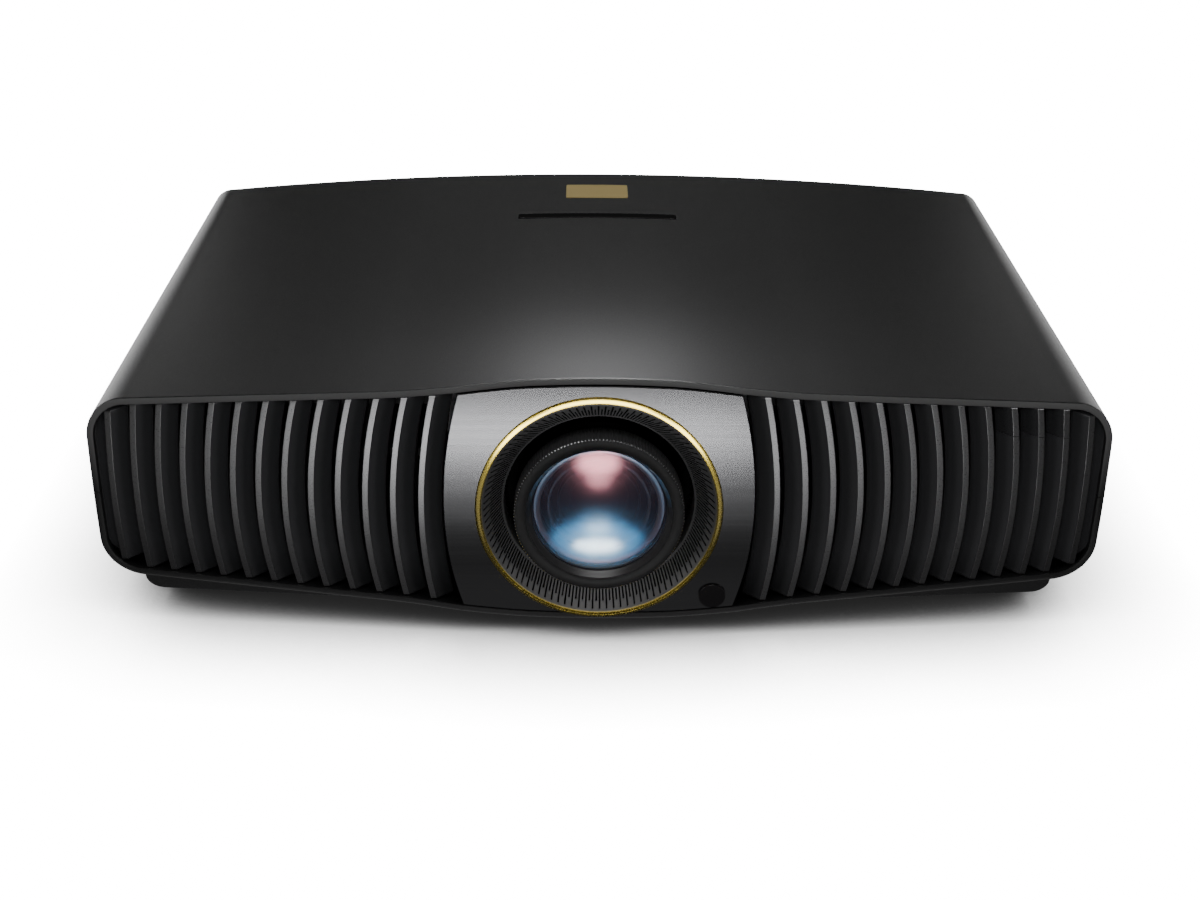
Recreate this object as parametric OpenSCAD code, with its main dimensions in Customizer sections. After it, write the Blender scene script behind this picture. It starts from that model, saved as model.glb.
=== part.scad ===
// Home-cinema projector with a curved front, louvred side grilles and a centred, motorised lens.
// Frame: X runs along the width, the lens looks along -Y, Z is up.
// The origin is on the standing surface, under the middle of the case. Millimetres throughout.

/* [Case] */
// Width of the case
case_w = 492; // [480:1:504]
// Height of the roof above the standing surface, at the middle of the front
roof_front_z = 140.5; // [138:0.5:143]
// Height of the roof above the standing surface, at the middle of the rear
roof_rear_z = 128.5; // [124:0.5:132]
// Gap under the case that the feet fill
foot_gap = 8.5; // [7:0.5:10]
// Thickness of the case shells
wall = 3; // [2.6:0.1:3.2]
// Height of the parting line between the top cover and the bottom case
parting_z = 73; // [70:0.5:76]
// Radius of the upper long edges
top_edge_r = 21; // [18:0.5:22]
// How much tighter that rounding is at the rear
top_taper = 9; // [0:1:12]
// Radius of the lower long edges
low_edge_r = 21; // [19:0.5:24]
// Y of the front face at the middle, which is where the gold ring stands
face_y = -171.5; // [-172.5:0.5:-170.5]
// Y of the rear edge at the middle
rear_y = 175.5; // [174:0.5:178]

/* [Front] */
// Height of the lens axis
axis_z = 72; // [71:0.5:73]
// Outer radius of the gold trim ring
ring_r = 59.1; // [58:0.1:60]
// Radial width of the gold trim ring
ring_w = 2.2; // [1.6:0.1:2.6]
// Louvre fins on each side
fins = 13; // [9:1:13]
// Distance of the innermost fin from the middle
fin_first = 85.5; // [85:0.5:87]
// Pitch of the innermost fins, which shrinks a little towards the sides
fin_pitch = 13.8; // [13.6:0.1:13.9]
// Width of a fin's front edge
fin_edge = 3; // [2.4:0.1:3.2]

/* [Lens] */
// Radius of the lens barrel's front rim
rim_r = 41; // [39:0.5:41.5]
// Radius of the barrel's tube
tube_r = 38; // [37:0.5:38]
// Radius of the bore that the front cell slides in
cell_r = 34; // [33:0.5:34.5]
// Radius of the front glass
glass_r = 31; // [29:0.5:31]

/* [Feet and mount] */
// Distance of the feet from the middle, along the width
foot_x = 190; // [180:1:195]
// Radius of a foot pad
foot_r = 13; // [10:0.5:14]
// Spacing of the ceiling inserts along the width
insert_dx = 300; // [280:5:320]
// Spacing of the ceiling inserts along the depth
insert_dy = 200; // [180:5:220]
// Radius of the threaded hole in a ceiling insert
insert_r = 2; // [1.5:0.5:2.5]

/* [Hidden] */
$fn = 48;
half_w = case_w / 2;
roof_edge_x = half_w - top_edge_r;
floor_edge_x = half_w - low_edge_r;
split = 0.15;
fit = 0.06;
graphite = [0.13, 0.13, 0.135];
coal = [0.06, 0.06, 0.065];
gold = [0.78, 0.62, 0.25];
steel = [0.72, 0.73, 0.75];
alloy = [0.6, 0.61, 0.63];

// ---------- curves of the case ----------

// Smooth step from 0 at a to 1 at b
function blend(a, b, v) = let (t = min(1, max(0, (v - a) / (b - a)))) t * t * (3 - 2 * t);
// How far the roof and the floor fall away from their middle height at x
function crown(x) = 0.073 * (sqrt(x * x + 1600) - 40) + 3.5 * blend(30, 105, abs(x));
// How far the front face lies behind its middle at x, and behind its most forward height at z
function sweep_back(x) = 0.0875 * max(0, abs(x) - 68);
function lean(z) = z > 68 ? 4.5 * pow((z - 68) / 74, 2) : 5.5 * pow((68 - z) / 60, 2);
function front_y(x, z) = face_y + sweep_back(x) + lean(z);
function back_y(x) = rear_y - 3.4 * pow(x / 235, 2);
// Height of the roof at x; s is 0 at the front and 1 at the rear
function roof_z(x, s) = (1 - s) * (roof_front_z - crown(x))
    + s * (roof_rear_z - 10 * pow(x / 230, 2));
function floor_z(x) = foot_gap + crown(x);
// Heights of the shells' inner faces at the front, in the long edges' rounds too
function under_roof(x) = abs(x) <= roof_edge_x ? roof_z(x, 0) - wall
    : roof_z(roof_edge_x, 0) - top_edge_r
        + sqrt(max(0, pow(top_edge_r - wall, 2) - pow(abs(x) - roof_edge_x, 2)));
function over_floor(x, t = wall) = abs(x) <= floor_edge_x ? floor_z(x) + t
    : floor_z(floor_edge_x) + low_edge_r
        - sqrt(max(0, pow(low_edge_r - t, 2) - pow(abs(x) - floor_edge_x, 2)));

// Section of the top cover, t inside its outer face, from the right parting to the left one
function top_path(s, t) = let (
        outer_r = top_edge_r - top_taper * s,
        edge_x = half_w - outer_r,
        zc = roof_z(edge_x, s) - outer_r,
        r = outer_r - t,
        n = 36
    )
    concat(
        [[half_w - t, parting_z + split]],
        [for (a = [0:15:90]) [edge_x + r * cos(a), zc + r * sin(a)]],
        [for (i = [1:n - 1]) let (x = edge_x * (1 - 2 * i / n)) [x, roof_z(x, s) - t]],
        [for (a = [90:15:180]) [-edge_x + r * cos(a), zc + r * sin(a)]],
        [[t - half_w, parting_z + split]]
    );
// Section of the bottom case, t inside its outer face, from the left parting to the right one
function low_path(t) = let (zc = floor_z(floor_edge_x) + low_edge_r, r = low_edge_r - t, n = 36)
    concat(
        [[t - half_w, parting_z - split]],
        [for (a = [180:15:270]) [-floor_edge_x + r * cos(a), zc + r * sin(a)]],
        [for (i = [1:n - 1]) let (x = floor_edge_x * (2 * i / n - 1)) [x, floor_z(x) + t]],
        [for (a = [270:15:360]) [floor_edge_x + r * cos(a), zc + r * sin(a)]],
        [[half_w - t, parting_z - split]]
    );
// A section's points, placed a part s of the way from the front to the rear
function placed(front, path, s) = [for (k = [0:len(path) - 1])
    [path[k][0], (1 - s) * front_y(front[k][0], front[k][1]) + s * back_y(path[k][0]), path[k][1]]];

// A shell between an outer and an inner section that run from the front to the rear
module shell(sections) {
    n = len(sections[0]) / 2;
    m = len(sections) - 1;
    w = 2 * n;
    quads = concat(
        [for (j = [0:m - 1], k = [0:n - 2])
            [j * w + k, j * w + k + 1, (j + 1) * w + k + 1, (j + 1) * w + k]],
        [for (j = [0:m - 1], k = [0:n - 2])
            [j * w + n + k + 1, j * w + n + k, (j + 1) * w + n + k, (j + 1) * w + n + k + 1]],
        [for (k = [0:n - 2]) [k, n + k, n + k + 1, k + 1]],
        [for (k = [0:n - 2]) [m * w + k, m * w + k + 1, m * w + n + k + 1, m * w + n + k]],
        [for (j = [0:m - 1]) [j * w, (j + 1) * w, (j + 1) * w + n, j * w + n]],
        [for (j = [0:m - 1])
            [j * w + n - 1, j * w + w - 1, (j + 1) * w + w - 1, (j + 1) * w + n - 1]]
    );
    polyhedron(
        points = [for (section = sections, p = section) p],
        faces = [for (q = quads, tri = [[q[0], q[1], q[2]], [q[0], q[2], q[3]]]) tri],
        convexity = 6
    );
}

// A cylinder along X, Y or Z that starts at the given point
module rod_x(at, r, l) { translate(at) rotate([0, 90, 0]) cylinder(r = r, h = l); }
module rod_y(at, r, l) { translate(at) rotate([-90, 0, 0]) cylinder(r = r, h = l); }
module rod_z(at, r, l) { translate(at) cylinder(r = r, h = l); }
// A box between two corners
module block(a, b) { translate(a) cube(b - a); }
// An outline drawn in X and Z, as a plate from y0 to y1
module plate(y0, y1) { translate([0, y1, 0]) rotate([90, 0, 0]) linear_extrude(y1 - y0) children(); }
// A ring about the lens axis: its section is drawn as radius and Y
module turned() {
    translate([0, 0, axis_z]) rotate([-90, 0, 0]) rotate_extrude($fn = 96) children();
}

// ---------- shells ----------

boss_h = 12;
screw_spots = [for (x = [-110, 110], y = [-105, 105]) [x, y]];
foot_ys = [-112, 134];

module bottom_case() {
    color(graphite) difference() {
        union() {
            shell([for (s = [0:0.25:1]) concat(
                placed(low_path(0), low_path(0), s),
                placed(low_path(wall), low_path(wall), s)
            )]);
            for (p = screw_spots) rod_z([p[0], p[1], floor_z(p[0]) + 1], 4.5, boss_h);
        }
        for (p = screw_spots) rod_z([p[0], p[1], floor_z(p[0]) - 2], 1.5, boss_h + 4);
    }
}

// The two hollow skids under the case, which carry the feet and the ceiling inserts.
// Their front ends follow the sweep of the case's front.
skid_in = 70;
skid_out = 233;
skid_flat = 222;
skid_floor = 2;
skid_front_y = -151;
skid_rear_y = 152;
skid_sweep = 4.6;
// Rounded lower outer corner of a skid, moved in and up by g
function skid_corner(g) = [for (a = [0:15:75])
    [skid_flat - g + 9 * sin(a), foot_gap + g * 0.7 + 7 * (1 - cos(a))]];
// The case's outer face from x1 back to x0, moved up by lift, on the same points as low_path
function case_foot(x0, x1, lift) = let (n = 36) [
    for (x = concat(
        [x1, floor_edge_x + low_edge_r * sin(15)],
        [for (i = [n:-1:n / 2]) floor_edge_x * (2 * i / n - 1)],
        [x0]
    )) if (x >= x0 && x <= x1) [x, over_floor(x, 0) + lift]
];

module swept_front(inset) {
    difference() {
        children();
        translate([skid_in, skid_front_y + inset, 0])
            rotate(skid_sweep)
                block([-20, -40, -1], [200, 0, 60]);
    }
}

module skid_body() {
    difference() {
        swept_front(0) plate(skid_front_y, skid_rear_y) polygon(concat(
            [[skid_in, foot_gap]], skid_corner(0), case_foot(skid_in, skid_out, -0.05)
        ));
        swept_front(wall) plate(skid_front_y, skid_rear_y - wall) polygon(concat(
            [[skid_in + wall, foot_gap + skid_floor]], skid_corner(wall),
            case_foot(skid_in + wall, skid_out - wall, 1)
        ));
    }
}

module skid() {
    insert_ys = [-insert_dy / 2, insert_dy / 2];
    difference() {
        union() {
            skid_body();
            for (y = insert_ys) rod_z([insert_dx / 2, y, foot_gap], 6, 10.5);
            for (y = foot_ys) rod_z([foot_x, y, foot_gap], 8, 13.5);
            for (p = screw_spots) if (p[0] > 0) rod_z([p[0], p[1], foot_gap], 5, 8.6);
        }
        for (y = insert_ys) rod_z([insert_dx / 2, y, foot_gap - 1], 3.5, 12.5);
        rod_z([foot_x, foot_ys[0], foot_gap - 1], 4 + fit, 15.5);
        for (p = screw_spots) if (p[0] > 0) {
            rod_z([p[0], p[1], foot_gap - 1], 1.7, 12);
            rod_z([p[0], p[1], foot_gap - 1], 3.2, 3.5);
        }
    }
}

module base_skids() {
    color(coal) {
        skid();
        mirror([1, 0, 0]) skid();
    }
}

key_y = 100;
key_z = 86.5;
key_w = 84;
key_h = 23.4;

module top_cover() {
    color(graphite) difference() {
        shell([for (s = [0:0.25:1]) concat(
            placed(top_path(0, 0), top_path(s, 0), s),
            placed(top_path(0, wall), top_path(s, wall), s)
        )]);
        block(
            [-half_w - 1, key_y - key_w / 2, key_z - key_h / 2],
            [wall + 1 - half_w, key_y + key_w / 2, key_z + key_h / 2]
        );
    }
}

// Outline of the opening at the rear, a gap g inside the shells
function rear_outline(g) = concat(
    [for (p = top_path(1, wall + g)) [p[0], max(p[1], parting_z)]],
    [for (p = low_path(wall + g)) [p[0], min(p[1], parting_z)]]
);
rear_panel_y = 166;
port_z = 46;
hdmi_x = [-206, -182];
usb_x = [-124, -104];
lan_x = -153;
serial_x = -72;
trigger_x = -40;
inlet_x = 176;
inlet_z = 60;

module rear_panel() {
    color(coal) plate(rear_panel_y, rear_panel_y + 3) difference() {
        polygon(rear_outline(0.2));
        for (x = hdmi_x) translate([x - 8.2, port_z - 3.7]) square([16.4, 7.4]);
        for (x = usb_x) translate([x - 7.7, port_z - 4.2]) square([15.4, 8.4]);
        translate([lan_x - 8.7, port_z - 4.2]) square([17.4, 15.4]);
        translate([serial_x - 15.7, port_z - 4.2]) square([31.4, 12.9]);
        translate([trigger_x, port_z]) circle(r = 4.2);
        translate([inlet_x - 14.2, inlet_z - 12.2]) square([28.4, 24.4]);
        for (i = [0:17], j = [0:1]) translate([8 + 7 * i, 44 + 28 * j]) square([3.2, 22]);
    }
}

// ---------- front ----------

fin_inset = 1.5;
grille_y = -140;
cap_h = 15;

function fin_face(i) = 8 - 0.11 * i;
function fin_bow(i) = 6.85 + 0.85 * i - 0.1 * i * i;
// X of fin i's front edge at height z, for the right-hand side
function fin_x(i, z) = fin_first + fin_pitch * i - 0.1025 * i * i
    - fin_bow(i) * pow((z - axis_z + 5) / 62, 2);
function fin_top(i) = under_roof(fin_x(i, 122) + fin_edge / 2) - 0.8;
function fin_foot(i) = over_floor(fin_x(i, 24) + fin_edge / 2) + 0.8;
// Plan section of a fin at height z: front edge, slanted face, then a web back to y = back
function fin_section(i, z, back) =
    let (x = fin_x(i, z), y = front_y(x, z) + fin_inset, h = fin_edge / 2, w = x - h - fin_face(i)) [
        [x + h, y, z],
        [x - h, y, z],
        [w, y + 7, z],
        [w, back, z],
        [w + 2.2, back, z],
        [w + 2.2, y + 9.2, z],
        [x + h, y + 2, z]
    ];
fin_ends = [[6, 5, 2], [6, 2, 1], [6, 1, 0], [5, 4, 3], [5, 3, 2]];

module fin(i, z0, z1, back) {
    n = 14;
    w = 7;
    rings = [for (j = [0:n]) fin_section(i, z0 + (z1 - z0) * j / n, back)];
    polyhedron(
        points = [for (ring = rings, p = ring) p],
        faces = concat(
            [for (j = [0:n - 1], k = [0:w - 1], tri = [
                [j * w + k, j * w + (k + 1) % w, (j + 1) * w + (k + 1) % w],
                [j * w + k, (j + 1) * w + (k + 1) % w, (j + 1) * w + k]
            ]) tri],
            fin_ends,
            [for (tri = fin_ends) [for (k = [2:-1:0]) n * w + tri[k]]]
        ),
        convexity = 4
    );
}

grille_in = 74;
grille_out = half_w - 4;
grille_xs = [for (i = [0:24]) grille_in + i * (grille_out - grille_in) / 24];

// One side's louvred grille; the fins in capped end below their status light caps
module grille(capped) {
    plate(grille_y, grille_y + 3.5) difference() {
        polygon(concat(
            [for (x = grille_xs) [x, over_floor(x) + 0.4]],
            [for (i = [24:-1:0]) [grille_xs[i], under_roof(grille_xs[i]) - 0.6]]
        ));
        for (z = [34, 62, 90]) translate([grille_in + 5, z]) square([grille_out - grille_in - 14, 24]);
    }
    for (i = [0:fins - 1]) {
        capped_here = len(search(i, capped)) > 0;
        fin(i, fin_foot(i), capped_here ? fin_top(i) - cap_h : fin_top(i), grille_y + 1);
    }
}

status_fins = [9, 10, 11];

module left_grille() {
    color(coal) mirror([1, 0, 0]) grille([]);
}

module right_grille() {
    color(coal) grille(status_fins);
}

module status_light_caps() {
    color([0.1, 0.1, 0.105]) for (i = status_fins)
        fin(i, fin_top(i) - cap_h + 0.2, fin_top(i), grille_y - fit);
}

panel_gap = 0.8;
function panel_half(z) = 74.6 - 9.3 * pow((z - 74) / 62, 2);
panel_lo = floor_z(60) + wall + panel_gap;
panel_hi = roof_z(60, 0) - wall - panel_gap;
panel_outline = concat(
    [for (i = [0:20]) let (x = -64 + 128 * i / 20) [x, over_floor(x) + panel_gap]],
    [for (i = [0:16]) let (z = panel_lo + 1 + (panel_hi - panel_lo - 2) * i / 16) [panel_half(z), z]],
    [for (i = [20:-1:0]) let (x = -64 + 128 * i / 20) [x, under_roof(x) - panel_gap]],
    [for (i = [16:-1:0]) let (z = panel_lo + 1 + (panel_hi - panel_lo - 2) * i / 16) [-panel_half(z), z]]
);
ir_x = 56;
ir_z = 24;

module lens_panel() {
    color([0.36, 0.36, 0.37]) difference() {
        intersection() {
            plate(face_y - 1, face_y + 12) polygon(panel_outline);
            translate([-90, 0, 0]) rotate([90, 0, 90]) linear_extrude(180) polygon(concat(
                [for (i = [0:16]) let (z = 8 + 132 * i / 16) [face_y + 0.6 + lean(z), z]],
                [for (i = [16:-1:0]) let (z = 8 + 132 * i / 16) [face_y + 3.6 + lean(z), z]]
            ));
        }
        rod_y([0, face_y - 2, axis_z], ring_r + 0.1, 16);
        rod_y([ir_x, face_y - 2, ir_z], 6.6, 16);
    }
}

module lens_ring() {
    inner = ring_r - ring_w;
    color(gold) turned() polygon([
        [inner, face_y - 0.2], [inner + 0.6, face_y - 0.5], [ring_r - 0.7, face_y - 0.5],
        [ring_r, face_y + 0.6], [ring_r, face_y + 6.5], [inner, face_y + 6.5]
    ]);
}

// Fixed funnel: a cone with radial grooves that narrows down to the lens opening
funnel_out = ring_r - ring_w - 0.1;
funnel_in = 46;
module lens_funnel() {
    color(coal) difference() {
        turned() polygon([
            [funnel_out, face_y + 0.4], [funnel_out, face_y + 9], [funnel_in + 2.5, face_y + 22],
            [funnel_in, face_y + 22], [funnel_in, face_y + 10.5], [funnel_out - 1, face_y + 0.4]
        ]);
        for (i = [0:47]) translate([0, 0, axis_z]) rotate([0, i * 7.5, 0]) translate([0, face_y + 5.4, 51.5])
            rotate([-43, 0, 0]) cube([0.9, 1.6, 9], center = true);
    }
}

module ir_window() {
    color([0.08, 0.06, 0.07]) rod_y([ir_x, face_y + 1.9, ir_z], 6.5, 5);
}

// The badge and the gloss bar in front of it, let into the roof near its rear edge
badge_y = 134;
bar_y = 84;
roof_tilt = -atan((roof_front_z - roof_rear_z) / (rear_y - face_y));
function roof_at(y) = roof_z(0, (y - face_y - lean(roof_front_z)) / (rear_y - face_y - lean(roof_front_z)));
module top_badge() {
    color(gold) translate([0, badge_y, roof_at(badge_y) + 0.03]) rotate([roof_tilt, 0, 0])
        translate([-19, -13.5, 0]) cube([38, 27, 0.5]);
    color("black") translate([0, bar_y, roof_at(bar_y) + 0.03]) rotate([roof_tilt, 0, 0])
        translate([-47, -4, 0]) cube([94, 8, 0.4]);
}

// ---------- lens shift ----------

rod_r = 3;
rail_y = -82;
rail_dz = 50;
post_dx = 50;
screw_y = -68;
x_screw_z = axis_z + 48;
z_screw_x = -50;

module shift_frame() {
    color(alloy) difference() {
        union() {
            plate(-96, -92) translate([-78, 18]) square([156, 108]);
            for (x = [-75, 75], z = [axis_z - rail_dz, axis_z + rail_dz])
                block([x - 3, -92.5, z - 4.6], [x + 3, -74, z + 4.6]);
            block([72, -75, x_screw_z - 8], [78, -59, x_screw_z + 8]);
        }
        rod_y([0, -98, axis_z], 45, 10);
        for (sz = [-1, 1]) rod_x([-80, rail_y, axis_z + sz * rail_dz], rod_r, 160);
    }
}

module x_guide_rods() {
    color(steel) for (sz = [-1, 1]) rod_x([-78, rail_y, axis_z + sz * rail_dz], rod_r, 156);
}

module x_shift_motor() {
    color([0.3, 0.3, 0.32]) rod_x([50, screw_y, x_screw_z], 7, 22);
    color(steel) rod_x([48, screw_y, x_screw_z], 3.5, 2);
}

module x_leadscrew() {
    color(steel) {
        rod_x([10, screw_y, x_screw_z], 2, 37.8);
        rod_x([44, screw_y, x_screw_z], 3, 3.8);
    }
}

module x_carriage() {
    color([0.25, 0.25, 0.27]) difference() {
        union() {
            plate(rail_y - 5, rail_y + 5) difference() {
                translate([-62, axis_z - 56]) square([124, 112]);
                translate([-56, axis_z - 44]) square([112, 88]);
            }
            block([20, rail_y + 4.8, x_screw_z - 6], [34, screw_y + 5, x_screw_z + 6]);
            block([z_screw_x - 7, rail_y + 4.8, axis_z - 54], [z_screw_x + 7, screw_y - 2, axis_z - 44]);
        }
        for (sz = [-1, 1]) rod_x([-70, rail_y, axis_z + sz * rail_dz], rod_r + fit, 140);
        for (sx = [-1, 1]) rod_z([sx * post_dx, rail_y, axis_z - 46.5], rod_r, 93);
        rod_x([10, screw_y, x_screw_z], 2 + fit, 40);
        rod_z([z_screw_x, screw_y, axis_z - 56], 7 + fit, 20);
    }
}

module z_guide_rods() {
    color(steel) for (sx = [-1, 1]) rod_z([sx * post_dx, rail_y, axis_z - 46.4], rod_r, 92.8);
}

module z_shift_motor() {
    color([0.3, 0.3, 0.32]) rod_z([z_screw_x, screw_y, axis_z - 54], 7, 20);
    color(steel) rod_z([z_screw_x, screw_y, axis_z - 34], 3.5, 2);
}

module z_leadscrew() {
    color(steel) {
        rod_z([z_screw_x, screw_y, axis_z - 31.8], 2, 36);
        rod_z([z_screw_x, screw_y, axis_z - 31.8], 3, 4);
    }
}

module z_carriage() {
    color([0.2, 0.2, 0.22]) difference() {
        union() {
            plate(rail_y - 4.5, rail_y + 4.5) translate([-55, axis_z - 40]) square([110, 80]);
            block([z_screw_x - 5, rail_y + 4, axis_z - 16], [z_screw_x + 5, screw_y + 5, axis_z - 6]);
        }
        rod_y([0, rail_y - 6, axis_z], tube_r + fit, 12);
        for (sx = [-1, 1]) rod_z([sx * post_dx, rail_y, axis_z - 42], rod_r + fit, 84);
        rod_z([z_screw_x, screw_y, axis_z - 20], 2 + fit, 20);
    }
}

// ---------- lens ----------

// Gear centre distances and angles: the motors sit above the barrel, one on each side
focus_teeth = 92;
zoom_teeth = 84;
pinion_teeth = 12;
focus_arm = (focus_teeth + pinion_teeth) / 2;
zoom_arm = (zoom_teeth + pinion_teeth) / 2;
focus_dir = 60;
zoom_dir = 120;
focus_y = -147;
zoom_y = -134;
gear_w = 7;
function spot(arm, dir) = [arm * cos(dir), axis_z + arm * sin(dir)];
focus_at = spot(focus_arm, focus_dir);
zoom_at = spot(zoom_arm, zoom_dir);

// Outline of a module-1 gear with straight-flanked teeth; a tooth points along +X
module gear_outline(teeth) {
    pitch = 360 / teeth;
    flanks = [[-0.3, -1.2], [-0.2, 0], [-0.1, 0.85], [0.1, 0.85], [0.2, 0], [0.3, -1.2]];
    polygon([for (i = [0:teeth - 1], p = flanks)
        let (a = (i + p[0]) * pitch, r = teeth / 2 + p[1]) [r * cos(a), r * sin(a)]]);
}

// A plate on the barrel that a drive motor is fixed to
module motor_ear(dir, reach, y) {
    translate([0, 0, axis_z]) rotate([0, -dir, 0]) block([tube_r - 1, y, -9], [reach, y + 3, 9]);
}

module lens_barrel() {
    color(coal) difference() {
        union() {
            turned() polygon([
                [cell_r + fit, -158], [tube_r, -158], [tube_r, -46], [cell_r + fit, -46]
            ]);
            motor_ear(focus_dir, 60, -118);
            motor_ear(zoom_dir, 56, -102);
        }
        rod_y([0, -120, axis_z], cell_r + fit, 30);
    }
}

module focus_ring() {
    color([0.16, 0.16, 0.17]) difference() {
        union() {
            plate(focus_y, focus_y + gear_w)
                translate([0, axis_z]) rotate(focus_dir) gear_outline(focus_teeth);
            rod_y([0, -156, axis_z], tube_r + 2.5, 19);
        }
        rod_y([0, -160, axis_z], tube_r + fit, 30);
    }
}

module zoom_ring() {
    color([0.16, 0.16, 0.17]) difference() {
        union() {
            plate(zoom_y, zoom_y + gear_w)
                translate([0, axis_z]) rotate(zoom_dir) gear_outline(zoom_teeth);
            rod_y([0, -136, axis_z], tube_r + 2.5, 17.4);
        }
        rod_y([0, -140, axis_z], tube_r + fit, 40);
    }
}

module focus_motor() {
    color([0.3, 0.3, 0.32]) rod_y([focus_at[0], focus_y + gear_w + 1.2, focus_at[1]], 7, 20.8);
}

module zoom_motor() {
    color([0.3, 0.3, 0.32]) rod_y([zoom_at[0], zoom_y + gear_w + 1.2, zoom_at[1]], 6.5, 23.8);
}

// A pinion faces its ring with a gap between two teeth
module pinion(at, dir, y0) {
    color([0.85, 0.83, 0.75])
        plate(y0, y0 + gear_w)
            translate(at)
                rotate(dir + 180 + 180 / pinion_teeth)
                    gear_outline(pinion_teeth);
}

module focus_pinion() {
    pinion(focus_at, focus_dir, focus_y);
}

module zoom_pinion() {
    pinion(zoom_at, zoom_dir, zoom_y);
}

// Front cell: the rim that is seen, its stepped inside and the sleeve that slides in the barrel
module front_cell() {
    color(coal) turned() polygon([
        [rim_r, -175], [rim_r, -162], [cell_r, -162], [cell_r, -138], [glass_r, -138],
        [glass_r, -164], [glass_r + 2, -168], [glass_r + 2.6, -172.5], [35.8, -174.2], [36, -175.5],
        [rim_r - 0.5, -175.5]
    ]);
}

// Front glass: a meniscus with a strongly curved front
glass_front = [for (i = [0:10]) let (r = (glass_r - 0.05) * i / 10) [r, -166.5 + 9 * pow(i / 10, 2)]];
glass_back = [for (i = [10:-1:0]) let (r = (glass_r - 0.05) * i / 10) [r, -151 + 2 * pow(i / 10, 2)]];
module front_lens() {
    color([0.55, 0.7, 0.85, 0.6]) turned() polygon(concat(glass_front, glass_back));
}

// ---------- light and picture ----------

module engine_housing() {
    color([0.35, 0.36, 0.38]) difference() {
        union() {
            block([-56, -36, 34], [56, 40, 112]);
            rod_y([0, -40, axis_z], 26, 5);
            for (x = [-44, 44], y = [-24, 28])
                rod_z([x, y, over_floor(x) + 1.8], 6, 33 - over_floor(x));
        }
        rod_y([0, -42, axis_z], 20, 60);
        rod_x([40, 2, axis_z], 8, 20);
    }
}

module dmd_heatsink() {
    color(alloy) {
        block([-34, 40, 44], [34, 45, 104]);
        for (i = [0:8]) block([-34 + i * 8.1, 44.5, 44], [-31 + i * 8.1, 66, 104]);
    }
}

wheel_y = 2;
module colour_wheel() {
    color([0.8, 0.8, 0.5]) rod_x([63, wheel_y, axis_z + 18], 26, 1.2);
    color(steel) rod_x([61, wheel_y, axis_z + 18], 8, 8);
    color(steel) rod_x([68, wheel_y, axis_z + 18], 2, 14);
}

module light_module() {
    color([0.4, 0.4, 0.42]) difference() {
        union() {
            block([74, -34, 30], [146, 40, 110]);
            rod_x([72, wheel_y, axis_z - 8], 9, 3);
        }
        rod_x([70, wheel_y, axis_z + 18], 2 + fit, 16);
    }
}

module light_heatsink() {
    color(alloy) {
        block([146, -34, 34], [152, 40, 106]);
        for (i = [0:9]) block([151.5, -34 + i * 7.9, 34], [208, -31 + i * 7.9, 106]);
    }
}

fan_y = -132;
fan_x = 152;
fan_z = 73;
fan_r = 38;

module fan_frame(x) {
    difference() {
        union() {
            difference() {
                plate(fan_y, fan_y + 25) translate([x - 42, fan_z - 42]) square(84);
                rod_y([x, fan_y - 1, fan_z], fan_r + 1, 27);
            }
            plate(fan_y + 20, fan_y + 25) for (a = [45:90:315]) translate([x, fan_z]) rotate(a)
                translate([0, -2]) square([fan_r + 3, 4]);
            rod_y([x, fan_y + 20, fan_z], 17, 5);
            rod_y([x, fan_y + 6, fan_z], 2, 15);
        }
        for (dx = [-36, 36], dz = [-36, 36]) rod_y([x + dx, fan_y - 1, fan_z + dz], 2.2, 27);
    }
}

module fan_rotor(x) {
    difference() {
        union() {
            rod_y([x, fan_y + 3, fan_z], 16, 16);
            intersection() {
                for (a = [0:360 / 7:359]) translate([x, fan_y + 10, fan_z]) rotate([0, a, 0])
                    translate([0, 0, 25]) rotate([0, 0, 38]) cube([22, 1.8, 26], center = true);
                rod_y([x, fan_y + 3, fan_z], fan_r, 15);
            }
        }
        rod_y([x, fan_y + 5, fan_z], 2 + fit, 20);
    }
}

module exhaust_fan_frame() {
    color([0.1, 0.1, 0.1]) fan_frame(fan_x);
}

module intake_fan_frame() {
    color([0.1, 0.1, 0.1]) fan_frame(-fan_x);
}

module exhaust_fan_rotor() {
    color([0.14, 0.14, 0.15]) fan_rotor(fan_x);
}

module intake_fan_rotor() {
    color([0.14, 0.14, 0.15]) fan_rotor(-fan_x);
}

// ---------- electronics and connectors ----------

board_z = 39;
module main_board() {
    color([0.05, 0.3, 0.12]) {
        block([-228, 50, board_z], [-20, 160, board_z + 1.6]);
        block([-150, 80, board_z + 1.6], [-110, 120, board_z + 14]);
        block([-90, 90, board_z + 1.6], [-64, 116, board_z + 5]);
        block([-200, 70, board_z + 1.6], [-176, 120, board_z + 6]);
    }
    color("gray") for (x = [-215, -35], y = [62, 150])
        rod_z([x, y, over_floor(x) + 0.2], 3, board_z - over_floor(x) - 0.2);
}

module power_supply() {
    color([0.7, 0.7, 0.72]) difference() {
        block([64, 70, 32], [226, 150, 92]);
        for (i = [0:15]) block([72 + i * 9.4, 74, 90], [76 + i * 9.4, 146, 93]);
    }
}

// A socket shell that is open to the rear: outer size, cavity size and depth
module socket(x, z, outer, cavity, depth) {
    mouth_y = rear_panel_y + 3.4;
    floor_y = rear_panel_y + 2.4 - depth;
    difference() {
        block(
            [x - outer[0] / 2, floor_y - 1.5, z - outer[1] / 2],
            [x + outer[0] / 2, mouth_y, z + outer[1] / 2]
        );
        block(
            [x - cavity[0] / 2, floor_y, z - cavity[1] / 2],
            [x + cavity[0] / 2, mouth_y + 1, z + cavity[1] / 2]
        );
    }
}

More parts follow.
